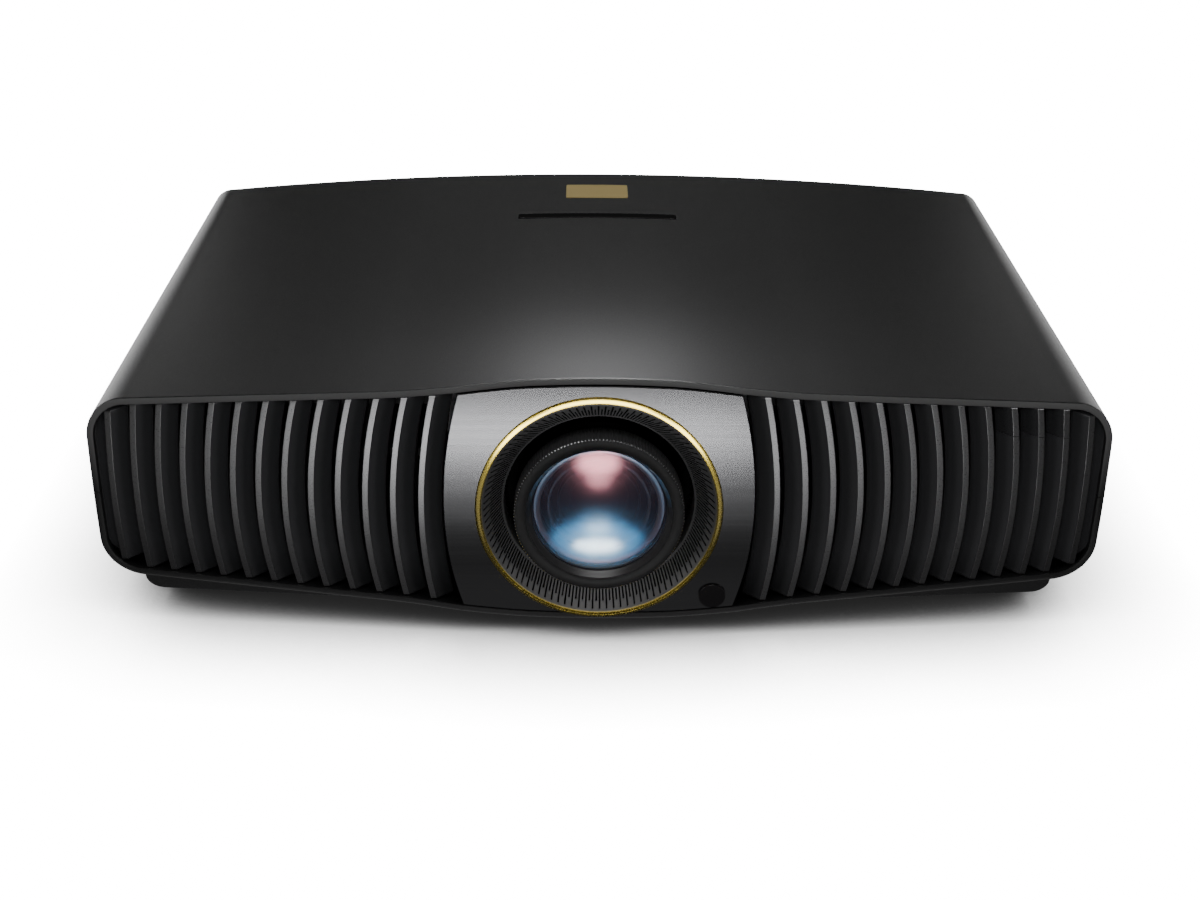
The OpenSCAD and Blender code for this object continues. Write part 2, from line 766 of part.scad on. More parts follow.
module video_ports() {
    color(steel) for (x = hdmi_x) socket(x, port_z, [16, 7], [14, 4.9], 12);
}

module data_ports() {
    color(steel) {
        for (x = usb_x) socket(x, port_z, [15, 8], [12.6, 5.2], 14);
        socket(lan_x, port_z + 3.5, [17, 15], [12, 9], 14);
        socket(serial_x, port_z + 2.2, [31, 12.4], [18, 9], 8);
    }
    color("black") difference() {
        rod_y([trigger_x, rear_panel_y - 12, port_z], 4, 15.4);
        rod_y([trigger_x, rear_panel_y - 10, port_z], 1.8, 15);
    }
}

// The three contact blades: offset along the width and upwards
blades = [[-7, -1], [0, 3], [7, -1]];

module power_inlet() {
    color([0.05, 0.05, 0.05]) {
        socket(inlet_x, inlet_z, [28, 24], [24, 17], 15);
        for (b = blades) block(
            [inlet_x + b[0] - 1, rear_panel_y - 12.6, inlet_z + b[1] - 2],
            [inlet_x + b[0] + 1, rear_panel_y - 8.6, inlet_z + b[1] + 2]
        );
    }
}

// ---------- keypad on the left wall ----------

key_face = 1 - half_w;
pad_y = key_y + 22;
pad_step = 9.4;
pad_rise = 8.6;
round_keys = [
    [key_y - 32, key_z, 5],
    [key_y - 16, key_z, 4],
    [key_y - 2, key_z, 4],
    [pad_y, key_z, 3.8]
];
arrow_keys = [
    [pad_y, key_z + pad_rise],
    [pad_y, key_z - pad_rise],
    [pad_y - pad_step, key_z],
    [pad_y + pad_step, key_z]
];
arrow_w = 5;
key_grey = [0.2, 0.2, 0.2];

module keypad_bezel() {
    back_x = wall - half_w + 0.1;
    hole_w = arrow_w + 0.6;
    color(coal) difference() {
        union() {
            block(
                [key_face, key_y - key_w / 2 + 0.2, key_z - key_h / 2 + 0.2],
                [back_x, key_y + key_w / 2 - 0.2, key_z + key_h / 2 - 0.2]
            );
            block(
                [back_x, key_y - key_w / 2 - 4, key_z - key_h / 2 - 3],
                [back_x + 2, key_y + key_w / 2 + 4, key_z + key_h / 2 - 0.2]
            );
        }
        for (k = round_keys) rod_x([-half_w - 1, k[0], k[1]], k[2] + 0.3, 8);
        for (k = arrow_keys) translate([-half_w - 1, k[0] - hole_w / 2, k[1] - hole_w / 2])
            cube([8, hole_w, hole_w]);
    }
}

module round_key(k) {
    rod_x([key_face - 0.7, k[0], k[1]], k[2], 6.3);
}

module arrow_key(k) {
    block(
        [key_face - 0.7, k[0] - arrow_w / 2, k[1] - arrow_w / 2],
        [key_face + 5.6, k[0] + arrow_w / 2, k[1] + arrow_w / 2]
    );
}

module power_button() { color(key_grey) round_key(round_keys[0]); }
module menu_button() { color(key_grey) round_key(round_keys[1]); }
module back_button() { color(key_grey) round_key(round_keys[2]); }
module ok_button() { color(key_grey) round_key(round_keys[3]); }
module up_button() { color(key_grey) arrow_key(arrow_keys[0]); }
module down_button() { color(key_grey) arrow_key(arrow_keys[1]); }
module left_button() { color(key_grey) arrow_key(arrow_keys[2]); }
module right_button() { color(key_grey) arrow_key(arrow_keys[3]); }

// ---------- fasteners and feet ----------

module case_screws() {
    color(steel) for (p = screw_spots) {
        rod_z([p[0], p[1], foot_gap + 0.4], 2.9, 1.9);
        rod_z([p[0], p[1], foot_gap + 2.2], 1.45, floor_z(p[0]) + 9 - foot_gap);
    }
}

module ceiling_inserts() {
    color("goldenrod") for (x = [-insert_dx / 2, insert_dx / 2], y = [-insert_dy / 2, insert_dy / 2])
        difference() {
            rod_z([x, y, foot_gap], 3.5, 10);
            rod_z([x, y, foot_gap - 1], insert_r, 12);
        }
}

module rear_feet() {
    color([0.04, 0.04, 0.04]) for (sx = [-1, 1]) {
        rod_z([sx * foot_x, foot_ys[1], 0], foot_r - 1, 1.5);
        rod_z([sx * foot_x, foot_ys[1], 1.4], foot_r, foot_gap - 1.4);
    }
}

module foot_pad(x) {
    color([0.04, 0.04, 0.04]) difference() {
        union() {
            rod_z([x, foot_ys[0], 0], foot_r - 1, 1.5);
            rod_z([x, foot_ys[0], 1.4], foot_r, 5);
        }
        rod_z([x, foot_ys[0], 3], 4 + fit, 10);
    }
}

module foot_stud(x) {
    color(steel) rod_z([x, foot_ys[0], 3.2], 4, 16.5);
}

module left_foot_pad() { foot_pad(-foot_x); }
module right_foot_pad() { foot_pad(foot_x); }
module left_foot_stud() { foot_stud(-foot_x); }
module right_foot_stud() { foot_stud(foot_x); }

bottom_case();
base_skids();
top_cover();
rear_panel();
left_grille();
right_grille();
lens_panel();
lens_ring();
lens_funnel();
ir_window();
status_light_caps();
top_badge();
shift_frame();
x_guide_rods();
x_shift_motor();
engine_housing();
dmd_heatsink();
light_module();
light_heatsink();
exhaust_fan_frame();
intake_fan_frame();
main_board();
power_supply();
video_ports();
data_ports();
power_inlet();
keypad_bezel();
case_screws();
ceiling_inserts();
rear_feet();
x_carriage();
z_guide_rods();
z_shift_motor();
x_leadscrew();
z_leadscrew();
z_carriage();
lens_barrel();
focus_ring();
focus_motor();
focus_pinion();
front_cell();
front_lens();
zoom_ring();
zoom_motor();
zoom_pinion();
colour_wheel();
exhaust_fan_rotor();
intake_fan_rotor();
left_foot_pad();
left_foot_stud();
right_foot_pad();
right_foot_stud();
power_button();
menu_button();
back_button();
ok_button();
up_button();
down_button();
left_button();
right_button();
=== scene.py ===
"""Looks of the home-cinema projector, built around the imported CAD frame.

Shapes are worked out in millimetres, in the frame that the CAD shares: X to the right as seen from
the front, the lens looking along -Y, Z up, with Z = 0 on the standing surface. MM turns them into
metres. Lights and the camera are placed in metres.
"""

import math

import bmesh
import bpy
from mathutils import Euler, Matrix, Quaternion, Vector


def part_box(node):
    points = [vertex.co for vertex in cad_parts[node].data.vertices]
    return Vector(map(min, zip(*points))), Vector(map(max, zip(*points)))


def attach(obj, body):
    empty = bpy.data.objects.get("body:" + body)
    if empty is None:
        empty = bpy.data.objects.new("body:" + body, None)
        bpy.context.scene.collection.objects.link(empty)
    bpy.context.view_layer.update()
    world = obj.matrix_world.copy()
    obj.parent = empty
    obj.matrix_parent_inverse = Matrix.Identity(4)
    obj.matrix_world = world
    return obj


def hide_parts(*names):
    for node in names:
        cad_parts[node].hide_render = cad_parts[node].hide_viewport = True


MM = 0.001
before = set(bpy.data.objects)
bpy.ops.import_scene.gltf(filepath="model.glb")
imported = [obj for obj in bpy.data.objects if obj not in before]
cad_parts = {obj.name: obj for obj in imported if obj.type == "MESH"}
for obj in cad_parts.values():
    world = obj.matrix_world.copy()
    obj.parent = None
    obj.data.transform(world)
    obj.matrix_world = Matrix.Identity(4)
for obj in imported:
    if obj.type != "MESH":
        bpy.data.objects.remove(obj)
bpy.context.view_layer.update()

# ---------- driving dimensions, as in the CAD source ----------

HALF_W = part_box("top_cover")[1].x / MM
WALL = 3.0
LIP = 3.4                     # thickness of the shells' front edge
PARTING_Z = 73.0              # where the top cover and the bottom case meet
SPLIT = 0.15                  # half the gap between them
TOP_EDGE_R = 21.0
TOP_TAPER = 9.0               # how much tighter the roof's long edges are at the rear
LOW_EDGE_R = 21.0
FACE_Y = -171.5               # the front, at the lens
REAR_Y = 175.5
ROOF_FRONT_Z = 140.5
ROOF_REAR_Z = 128.5
FOOT_GAP = 8.5                # height of the case's floor at its middle
CROWN_FALL = 0.073            # slope of the roof and the floor towards their sides
CROWN_FLAT = 40.0             # half the width of their nearly level middle
CROWN_STEP = 3.5              # further fall between the lens panel and the grilles
SWEEP = 0.0875                # slope of the front on each side of the lens panel
SWEEP_X = 68.0                # where that slope begins
LEAN_Z = 68.0                 # height at which the front stands upright
LEAN_TOP = 4.5                # how far the front leans back at its upper edge
LEAN_FOOT = 5.5               # and at its lower edge
REAR_BOW = 3.4                # how far forward the rear's sides are
REAR_CROWN = 10.0             # fall of the roof's rear edge towards its sides
AXIS_Z = 72.0                 # height of the lens axis
RING_R = 59.1
RING_W = 2.2
FINS = 13                     # in each grille
FIN_FIRST = 85.5              # X of the innermost fin's edge
FIN_PITCH = 13.8
FIN_CLOSING = 0.1025          # how the pitch shrinks outwards
FIN_EDGE = 3.0                # width of a fin's front edge
FIN_INSET = 1.5               # how far the fins stand back from the shells' front
FIN_GAP = 0.8                 # between a fin's ends and the shells
CAP_H = 15.0                  # height of a status cap
STATUS_FINS = (9, 10, 11)
KEY_Y = (58.0, 142.0)         # the keypad's opening in the left side wall
KEY_Z = (74.8, 98.2)
ROOF_EDGE_X = HALF_W - TOP_EDGE_R
FLOOR_EDGE_X = HALF_W - LOW_EDGE_R


def blend(a, b, v):
    """Smooth step from 0 at a to 1 at b."""
    t = min(1.0, max(0.0, (v - a) / (b - a)))
    return t * t * (3 - 2 * t)


def crown(x):
    """How far the roof and the floor fall away from their middle height at x."""
    step = CROWN_STEP * blend(30, 105, abs(x))
    return CROWN_FALL * (math.sqrt(x * x + CROWN_FLAT ** 2) - CROWN_FLAT) + step


def sweep_back(x):
    """How far the front swings back at x, beside the lens panel."""
    return SWEEP * max(0.0, abs(x) - SWEEP_X)


def lean(z):
    """How far the front leans back at height z."""
    if z > LEAN_Z:
        return LEAN_TOP * ((z - LEAN_Z) / 74) ** 2
    return LEAN_FOOT * ((LEAN_Z - z) / 60) ** 2


def front_y(x, z):
    """Y of the case's front edge."""
    return FACE_Y + sweep_back(x) + lean(z)


def back_y(x):
    """Y of the case's rear edge."""
    return REAR_Y - REAR_BOW * (x / 235) ** 2


def roof_z(x, s):
    """Height of the roof at x; s runs from 0 at the front to 1 at the rear."""
    rear = ROOF_REAR_Z - REAR_CROWN * (x / 230) ** 2
    return (1 - s) * (ROOF_FRONT_Z - crown(x)) + s * rear


def floor_z(x):
    """Height of the underside at x."""
    return FOOT_GAP + crown(x)


def under_roof(x, t=WALL):
    """Height of the top cover's inner face at the front, in the long edges' rounds too."""
    if abs(x) <= ROOF_EDGE_X:
        return roof_z(x, 0) - t
    drop = (TOP_EDGE_R - t) ** 2 - (abs(x) - ROOF_EDGE_X) ** 2
    return roof_z(ROOF_EDGE_X, 0) - TOP_EDGE_R + math.sqrt(max(0.0, drop))


def over_floor(x, t=WALL):
    """Height of the bottom case's inner face, in the long edges' rounds too."""
    if abs(x) <= FLOOR_EDGE_X:
        return floor_z(x) + t
    rise = (LOW_EDGE_R - t) ** 2 - (abs(x) - FLOOR_EDGE_X) ** 2
    return floor_z(FLOOR_EDGE_X) + LOW_EDGE_R - math.sqrt(max(0.0, rise))


# ---------- mesh helpers ----------

def clear_scene():
    """Removes what a new Blender file starts with."""
    for name in ("Cube", "Light", "Camera"):
        if name in bpy.data.objects:
            bpy.data.objects.remove(bpy.data.objects[name], do_unlink=True)


def finish_mesh(name, verts, faces, material, body, angle=30, second=()):
    """A mesh object from millimetre points, with its material and body.

    Edges sharper than angle stay sharp. second = (material, the indices of the faces that take it).
    """
    mesh = bpy.data.meshes.new(name)
    mesh.from_pydata([(x * MM, y * MM, z * MM) for x, y, z in verts], [], faces)
    mesh.materials.append(material)
    if second:
        mesh.materials.append(second[0])
        for index in second[1]:
            mesh.polygons[index].material_index = 1
    bm = bmesh.new()
    bm.from_mesh(mesh)
    bmesh.ops.remove_doubles(bm, verts=bm.verts, dist=1e-6)
    bmesh.ops.recalc_face_normals(bm, faces=bm.faces)
    limit = math.radians(angle)
    for f in bm.faces:
        f.smooth = True
    for e in bm.edges:
        e.smooth = len(e.link_faces) == 2 and e.calc_face_angle(0) < limit
    bm.to_mesh(mesh)
    bm.free()
    obj = bpy.data.objects.new(name, mesh)
    bpy.context.scene.collection.objects.link(obj)
    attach(obj, body)
    return obj


def grid_faces(rows, cols, close_rows=False, close_cols=False, skip=None):
    """Quads of a grid of points that is stored row by row; skip(row, column) leaves one out."""
    faces = []
    for i in range(rows if close_rows else rows - 1):
        for j in range(cols if close_cols else cols - 1):
            if skip is None or not skip(i, j):
                i2, j2 = (i + 1) % rows, (j + 1) % cols
                faces.append((i * cols + j, i * cols + j2, i2 * cols + j2, i2 * cols + j))
    return faces


def turned(name, profile, material, body, steps, ripple=None, angle=30, closed=True, second=()):
    """A solid of revolution about the lens axis, from (radius, y) points.

    ripple(step, point, radius, y) gives a point's own radius, y and turn about the axis.
    second = (material, test of a face's step and row).
    """
    verts = []
    for i in range(steps):
        a = 2 * math.pi * i / steps
        for k, (r, y) in enumerate(profile):
            rr, yy, swing = (r, y, 0.0) if ripple is None else ripple(i, k, r, y)
            verts.append((rr * math.sin(a + swing), yy, AXIS_Z + rr * math.cos(a + swing)))
    rows = len(profile) if closed else len(profile) - 1
    faces = grid_faces(steps, len(profile), close_rows=True, close_cols=closed)
    if second:
        second = (second[0], [n for n in range(len(faces)) if second[1](n // rows, n % rows)])
    return finish_mesh(name, verts, faces, material, body, angle=angle, second=second)


# ---------- materials ----------

MIX_FACTOR, MIX_A, MIX_B, MIX_RESULT = 0, 6, 7, 2      # sockets of a node that mixes colours


def new_material(name):
    """A material with its nodes, its links and its shader."""
    mat = bpy.data.materials.new(name)
    mat.use_nodes = True
    return mat, mat.node_tree.nodes, mat.node_tree.links, mat.node_tree.nodes["Principled BSDF"]


def scaled_position(nodes, links, scale):
    """Object position, stretched by scale: a texture that doesn't need UVs."""
    where = nodes.new("ShaderNodeTexCoord")
    mapping = nodes.new("ShaderNodeMapping")
    mapping.inputs["Scale"].default_value = scale
    links.new(where.outputs["Object"], mapping.inputs["Vector"])
    return mapping.outputs["Vector"]


def noise(nodes, links, vector, scale, detail, rough=0.5):
    """A noise texture's value, from 0 to 1."""
    tex = nodes.new("ShaderNodeTexNoise")
    tex.inputs["Scale"].default_value = scale
    tex.inputs["Detail"].default_value = detail
    tex.inputs["Roughness"].default_value = rough
    links.new(vector, tex.inputs["Vector"])
    return tex.outputs["Fac"]


def ranged(nodes, links, value, lo, hi, from_lo=0.0, from_hi=1.0):
    """Carries a value over from one range to another."""
    node = nodes.new("ShaderNodeMapRange")
    node.inputs["From Min"].default_value = from_lo
    node.inputs["From Max"].default_value = from_hi
    node.inputs["To Min"].default_value = lo
    node.inputs["To Max"].default_value = hi
    links.new(value, node.inputs["Value"])
    return node.outputs["Result"]


def bump(nodes, links, shader, height, distance):
    """Raises a shader's surface by a height from 0 to 1, times distance in metres."""
    node = nodes.new("ShaderNodeBump")
    node.inputs["Distance"].default_value = distance
    node.inputs["Strength"].default_value = 1.0
    links.new(height, node.inputs["Height"])
    links.new(node.outputs["Normal"], shader.inputs["Normal"])


def mix_colour(nodes, links, factor, a, b):
    """From colour a to b as factor goes from 0 to 1; b may be another node's output."""
    node = nodes.new("ShaderNodeMix")
    node.data_type = "RGBA"
    node.inputs[MIX_A].default_value = (*a, 1)
    if isinstance(b, tuple):
        node.inputs[MIX_B].default_value = (*b, 1)
    else:
        links.new(b, node.inputs[MIX_B])
    links.new(factor, node.inputs[MIX_FACTOR])
    return node.outputs[MIX_RESULT]


def plastic(name, colour, roughness, grain=0.02, grain_size=0.45, spread=0.06, specular=0.5):
    """Moulded plastic: a fine spark-eroded grain, with slight changes of tone and gloss.

    grain is the grain's depth and grain_size its width, in millimetres.
    """
    mat, nodes, links, shader = new_material(name)
    place = scaled_position(nodes, links, (1, 1, 1))
    fine = noise(nodes, links, place, 1 / (grain_size * MM), 3)
    broad = noise(nodes, links, place, 14, 2)
    darker = tuple(c * 0.9 for c in colour)
    lighter = tuple(min(1, c * 1.1) for c in colour)
    links.new(mix_colour(nodes, links, broad, darker, lighter), shader.inputs["Base Color"])
    links.new(ranged(nodes, links, fine, roughness - spread, roughness + spread, 0.3, 0.7),
              shader.inputs["Roughness"])
    shader.inputs["Specular IOR Level"].default_value = specular
    if grain:
        bump(nodes, links, shader, fine, grain * MM)
    return mat


ALONG_X = (0.01, 2.5, 2.5)    # stretches a metal's grain into lines along X


def metal(name, colour, roughness, brush=None, brush_depth=0.004, spread=0.08):
    """Metal; brush stretches the grain into lines along the axis with the smallest number."""
    mat, nodes, links, shader = new_material(name)
    shader.inputs["Metallic"].default_value = 1.0
    place = scaled_position(nodes, links, brush or (1, 1, 1))
    lines = noise(nodes, links, place, 900 if brush else 2500, 4, 0.7)
    darker = tuple(c * 0.86 for c in colour)
    links.new(mix_colour(nodes, links, lines, darker, colour), shader.inputs["Base Color"])
    links.new(ranged(nodes, links, lines, roughness - spread, roughness + spread, 0.3, 0.7),
              shader.inputs["Roughness"])
    if brush_depth:
        bump(nodes, links, shader, lines, brush_depth * MM)
    return mat


def coated(name, colour, roughness, alpha):
    """A coated lens surface: faint polishing rings in its gloss; alpha is how much it hides."""
    mat, nodes, links, shader = new_material(name)
    place = scaled_position(nodes, links, (1, 1, 1))
    fine = noise(nodes, links, place, 180, 2)
    darker = tuple(c * 0.6 for c in colour)
    links.new(mix_colour(nodes, links, fine, darker, colour), shader.inputs["Base Color"])
    shader.inputs["Roughness"].default_value = roughness
    shader.inputs["Specular IOR Level"].default_value = 1.0
    shader.inputs["Alpha"].default_value = alpha
    mat.surface_render_method = "BLENDED"
    return mat


def faded(mat, low, axis, start, end):
    """Fades a material's colour to low, from end back to start along an axis (either way from 0); it
    paints light and shade.
    """
    nodes, links = mat.node_tree.nodes, mat.node_tree.links
    where = nodes.new("ShaderNodeTexCoord")
    split = nodes.new("ShaderNodeSeparateXYZ")
    size = nodes.new("ShaderNodeMath")
    size.operation = "ABSOLUTE"
    links.new(where.outputs["Object"], split.inputs[0])
    links.new(split.outputs[axis], size.inputs[0])
    colour = nodes["Principled BSDF"].inputs["Base Color"]
    share = ranged(nodes, links, size.outputs[0], 0, 1, start * MM, end * MM)
    links.new(mix_colour(nodes, links, share, low, colour.links[0].from_socket), colour)
    return mat


def make_materials():
    """All materials; a fade's limits are millimetres along its axis."""
    return {
        # the case
        "case": plastic("case_charcoal", (0.026, 0.026, 0.0265), 0.42, grain=0.012),
        # painted light: the front lip's pale tone stands in for the front light on it, and its fade to
        # dark down the sides to the parting line is painted shade
        "case_edge_painted_light": faded(
            plastic("case_front_edge_painted_light", (0.23, 0.23, 0.231), 0.42, grain=0.006),
            (0.020, 0.020, 0.0205), "Z", PARTING_Z, 114),
        "case_low": plastic("case_black", (0.015, 0.015, 0.0155), 0.45, grain=0.012),
        "base": plastic("base_black", (0.012, 0.012, 0.0125), 0.5, grain=0.03),
        "badge": metal("badge_gold", (0.95, 0.76, 0.34), 0.42, ALONG_X, brush_depth=0.0, spread=0.03),
        "bar": plastic("inlay_gloss_black", (0.004, 0.004, 0.004), 0.12, grain=0.0, grain_size=0.3,
                       spread=0.02),
        # the front
        # painted shade: the grille's colour darkens towards its foot
        "grille": faded(
            plastic("grille_black_painted_shade", (0.040, 0.040, 0.043), 0.42, grain=0.004, grain_size=0.3),
            (0.006, 0.006, 0.0065), "Z", 14, 44),
        # painted shade: the fins' satin front edges darken from the middle fins to the outer ones, where
        # the front light falls off
        "fin_edge": faded(
            metal("satin_fin_edge_painted_shade", (0.50, 0.50, 0.51), 0.29, brush_depth=0.0003, spread=0.03),
            (0.26, 0.26, 0.265), "X", 238, 90),
        "caps": plastic("status_cap_smoke", (0.030, 0.030, 0.032), 0.30, grain=0.002, grain_size=0.3),
        "panel": metal("brushed_gunmetal", (0.30, 0.30, 0.31), 0.21, ALONG_X, brush_depth=0.0,
                       spread=0.02),
        "window": plastic("window_smoke", (0.014, 0.012, 0.014), 0.22, grain=0.0, grain_size=0.3,
                          spread=0.02),
        "gold": metal("gold_trim", (0.98, 0.79, 0.26), 0.26, brush_depth=0.0002, spread=0.03),
        # painted light: the cone is palest at its bottom middle, a painted highlight, and darker at its
        # top and sides, painted shade
        "funnel": faded(
            faded(plastic("funnel_black_painted_light", (0.11, 0.11, 0.112), 0.45, grain=0.004, grain_size=0.3),
                  (0.070, 0.070, 0.072), "Z", 128, 40),
            (0.036, 0.036, 0.037), "X", 48, 8),
        # painted shade: near black for the faces in the funnel's grooves, standing in for the shade in
        # them
        "slit": plastic("slit_black_painted_shade", (0.003, 0.003, 0.003), 0.6, grain=0.0, grain_size=0.3,
                        spread=0.02, specular=0.1),
        # the lens
        "rim": plastic("lens_rim_black", (0.020, 0.020, 0.0205), 0.40, grain=0.004, grain_size=0.3),
        "mount_ring": plastic("blackened_ring", (0.030, 0.030, 0.031), 0.30, grain=0.0, grain_size=0.3,
                              spread=0.03, specular=0.6),
        "lens_black": plastic("lens_inner_black", (0.004, 0.004, 0.005), 0.3, grain=0.0),
        "barrel": plastic("lens_barrel_black", (0.004, 0.004, 0.004), 0.6, grain=0.003, grain_size=0.3,
                          spread=0.04, specular=0.15),
        "front_glass": coated("front_glass", (0.01, 0.012, 0.016), 0.16, alpha=0.42),
        "coated_a": coated("coated_element_a", (0.006, 0.009, 0.012), 0.20, alpha=0.34),
        "coated_b": coated("coated_element_b", (0.010, 0.006, 0.010), 0.20, alpha=0.45),
        "coated_c": coated("coated_element_c", (0.006, 0.010, 0.014), 0.22, alpha=0.45),
        "coated_d": coated("coated_element_d", (0.010, 0.006, 0.010), 0.20, alpha=0.7),
        # sockets, keys, fasteners and feet
        # painted shade: the port shells darken deeper into the sockets and are bright only at their
        # mouths
        "port": faded(
            metal("port_shell_steel_painted_shade", (0.6, 0.61, 0.62), 0.32),
            (0.03, 0.03, 0.032), "Y", 166, 174.4),
        "socket": plastic("socket_black", (0.012, 0.012, 0.012), 0.45, grain=0.01),
        "keypad": plastic("keypad_black", (0.014, 0.014, 0.0145), 0.4, grain=0.01),
        "key": plastic("key_charcoal", (0.045, 0.045, 0.047), 0.45, grain=0.006, grain_size=0.25),
        "screw": metal("black_screw", (0.10, 0.10, 0.11), 0.35),
        "brass": metal("brass_insert", (0.70, 0.55, 0.25), 0.3),
        "foot": plastic("foot_rubber", (0.012, 0.012, 0.012), 0.75, grain=0.04, grain_size=0.6),
        # inside
        "alloy": metal("cast_alloy", (0.55, 0.56, 0.58), 0.45),
        "steel": metal("steel", (0.62, 0.63, 0.65), 0.3),
        "motor": metal("motor_can", (0.16, 0.16, 0.17), 0.4),
        "fan": plastic("fan_black", (0.016, 0.016, 0.017), 0.5, grain=0.01),
        "board": plastic("board_green", (0.02, 0.13, 0.05), 0.4, grain=0.004),
        "plate_metal": metal("plated_steel", (0.6, 0.61, 0.62), 0.32),
        "carriage": metal("carriage_alloy", (0.35, 0.36, 0.38), 0.45),
        "gear": plastic("gear_acetal", (0.70, 0.68, 0.60), 0.45, grain=0.01),
        "wheel": metal("wheel_mirror", (0.80, 0.78, 0.45), 0.1),
    }


# ---------- the case ----------

MID_YS = [-135.0, -110.0, -80.0, -50.0, -20.0, 10.0, 34.0, KEY_Y[0], 80.0, 100.0, 120.0, KEY_Y[1], 155.0]


def top_section(n_roof=150, corner_step=5, side=(KEY_Z[0], 86.5, KEY_Z[1])):
    """Places on the top cover's section, from the right parting over to the left one.

    A place is ("side", side, height), ("corner", side, degrees) or ("roof", share of the half width, 0).
    """
    places = [("side", 1, PARTING_Z + SPLIT)] + [("side", 1, z) for z in side]
    places += [("corner", 1, a) for a in range(0, 90, corner_step)]
    places += [("roof", 1 - 2 * i / n_roof, 0) for i in range(n_roof + 1)]
    places += [("corner", -1, a) for a in range(90 - corner_step, -1, -corner_step)]
    places += [("side", -1, z) for z in reversed(side)] + [("side", -1, PARTING_Z + SPLIT)]
    return places


def top_point(place, inset, s):
    """X and Z of a place on the top cover, inset from its outer face, a part s of the way back."""
    kind, a, b = place
    if kind == "side":
        return a * (HALF_W - inset), b
    edge_r = TOP_EDGE_R - TOP_TAPER * s
    edge_x = HALF_W - edge_r
    if kind == "roof":
        return a * edge_x, roof_z(a * edge_x, s) - inset
    angle = math.radians(b)
    r = edge_r - inset
    return a * (edge_x + r * math.cos(angle)), roof_z(edge_x, s) - edge_r + r * math.sin(angle)


def low_section(n_floor=120, corner_step=5, side_z=62.0):
    """Places on the bottom case's section, from the left parting under to the right one."""
    places = [("side", -1, PARTING_Z - SPLIT), ("side", -1, side_z)]
    places += [("corner", -1, a) for a in range(0, 90, corner_step)]
    places += [("floor", FLOOR_EDGE_X * (2 * i / n_floor - 1), 0) for i in range(n_floor + 1)]
    places += [("corner", 1, a) for a in range(90 - corner_step, -1, -corner_step)]
    places += [("side", 1, side_z), ("side", 1, PARTING_Z - SPLIT)]
    return places


def low_point(place, inset, s):
    """X and Z of a place on the bottom case, which is the same section all the way back."""
    kind, a, b = place
    if kind == "side":
        return a * (HALF_W - inset), b
    if kind == "floor":
        return a, floor_z(a) + inset
    angle = math.radians(b)
    r = LOW_EDGE_R - inset
    centre = floor_z(FLOOR_EDGE_X) + LOW_EDGE_R
    return a * (FLOOR_EDGE_X + r * math.cos(angle)), centre - r * math.sin(angle)


LIP_STEPS = range(2, 6)       # steps of the loop below that lie across the front lip


def shell_loop():
    """One trip round a shell's wall, as (kind, inset, y).

    y counts from the front edge, from the rear edge, or is a place "at" that y.
    """
    f, m = 0.45, 0.13                               # round of the lip's corners, and its middle
    r = 2.6                                         # round of the rear edge
    loop = [("front", LIP, 12.0), ("front", LIP, f), ("front", LIP - m, m), ("front", LIP - f, 0.0)]
    loop += [("front", LIP / 2, 0.0), ("front", f, 0.0), ("front", m, m), ("front", 0.0, f)]
    loop += [("front", 0.0, y) for y in (1.5, 4.0, 9.0)]
    loop += [("at", 0.0, y) for y in MID_YS]
    loop += [("rear", 0.0, 8.0)]
    for a in range(0, 91, 15):
        t = math.radians(a)
        loop.append(("rear", r - r * math.cos(t), r - r * math.sin(t)))
    loop += [("rear", WALL, 0.0), ("rear", WALL, 8.0)]
    loop += [("at", WALL, y) for y in reversed(MID_YS)]
    loop += [("front", WALL, 13.0)]
    return loop


def shell(name, places, point, material, edge, window=None):
    """A case shell, with its front lip in the edge material.

    window = (first and last place, first and last y) leaves an opening through the wall.
    """
    loop = shell_loop()
    n = len(loop)
    verts = []
    for place in places:
        x0, z0 = point(place, 0.0, 0.0)
        start = front_y(x0, z0)
        end = back_y(x0)
        for kind, inset, value in loop:
            y = {"front": start + value, "at": value, "rear": end - value}[kind]
            x, z = point(place, inset, (y - start) / (end - start))
            verts.append((x, y, z))
    skip = window_skip(loop, window) if window else None
    faces = grid_faces(len(places), n, close_cols=True, skip=skip)
    faces.append(tuple(range(n)))
    faces.append(tuple((len(places) - 1) * n + j for j in reversed(range(n))))
    if window:
        faces += window_rim(loop, window, n)
    lip = [k for k, face in enumerate(faces) if len(face) == 4 and face[0] % n in LIP_STEPS]
    return finish_mesh(name, verts, faces, material, "chassis", second=(edge, lip))


def window_columns(loop, y0, y1):
    """Loop indices of the outer and inner stations at the window's ends."""
    ends = [(j, inset) for j, (kind, inset, y) in enumerate(loop) if kind == "at" and y in (y0, y1)]
    return [j for j, inset in ends if inset == 0], [j for j, inset in ends if inset > 0]


def window_skip(loop, window):
    """The test that leaves out the wall's faces in the window."""
    (i0, i1), (y0, y1) = window
    outer, inner = window_columns(loop, y0, y1)

    def skip(i, j):
        return i0 <= i < i1 and (outer[0] <= j < outer[1] or inner[0] <= j < inner[1])
    return skip


def window_rim(loop, window, n):
    """The wall's thickness round the window."""
    (i0, i1), (y0, y1) = window
    outer, inner = window_columns(loop, y0, y1)
    span = outer[1] - outer[0]
    faces = []
    for i in range(i0, i1):
        for o, q in ((outer[0], inner[1]), (outer[1], inner[0])):
            faces.append((i * n + o, (i + 1) * n + o, (i + 1) * n + q, i * n + q))
    for i in (i0, i1):
        for d in range(span):
            o, q = outer[0] + d, inner[1] - d
            faces.append((i * n + o, i * n + o + 1, i * n + q - 1, i * n + q))
    return faces


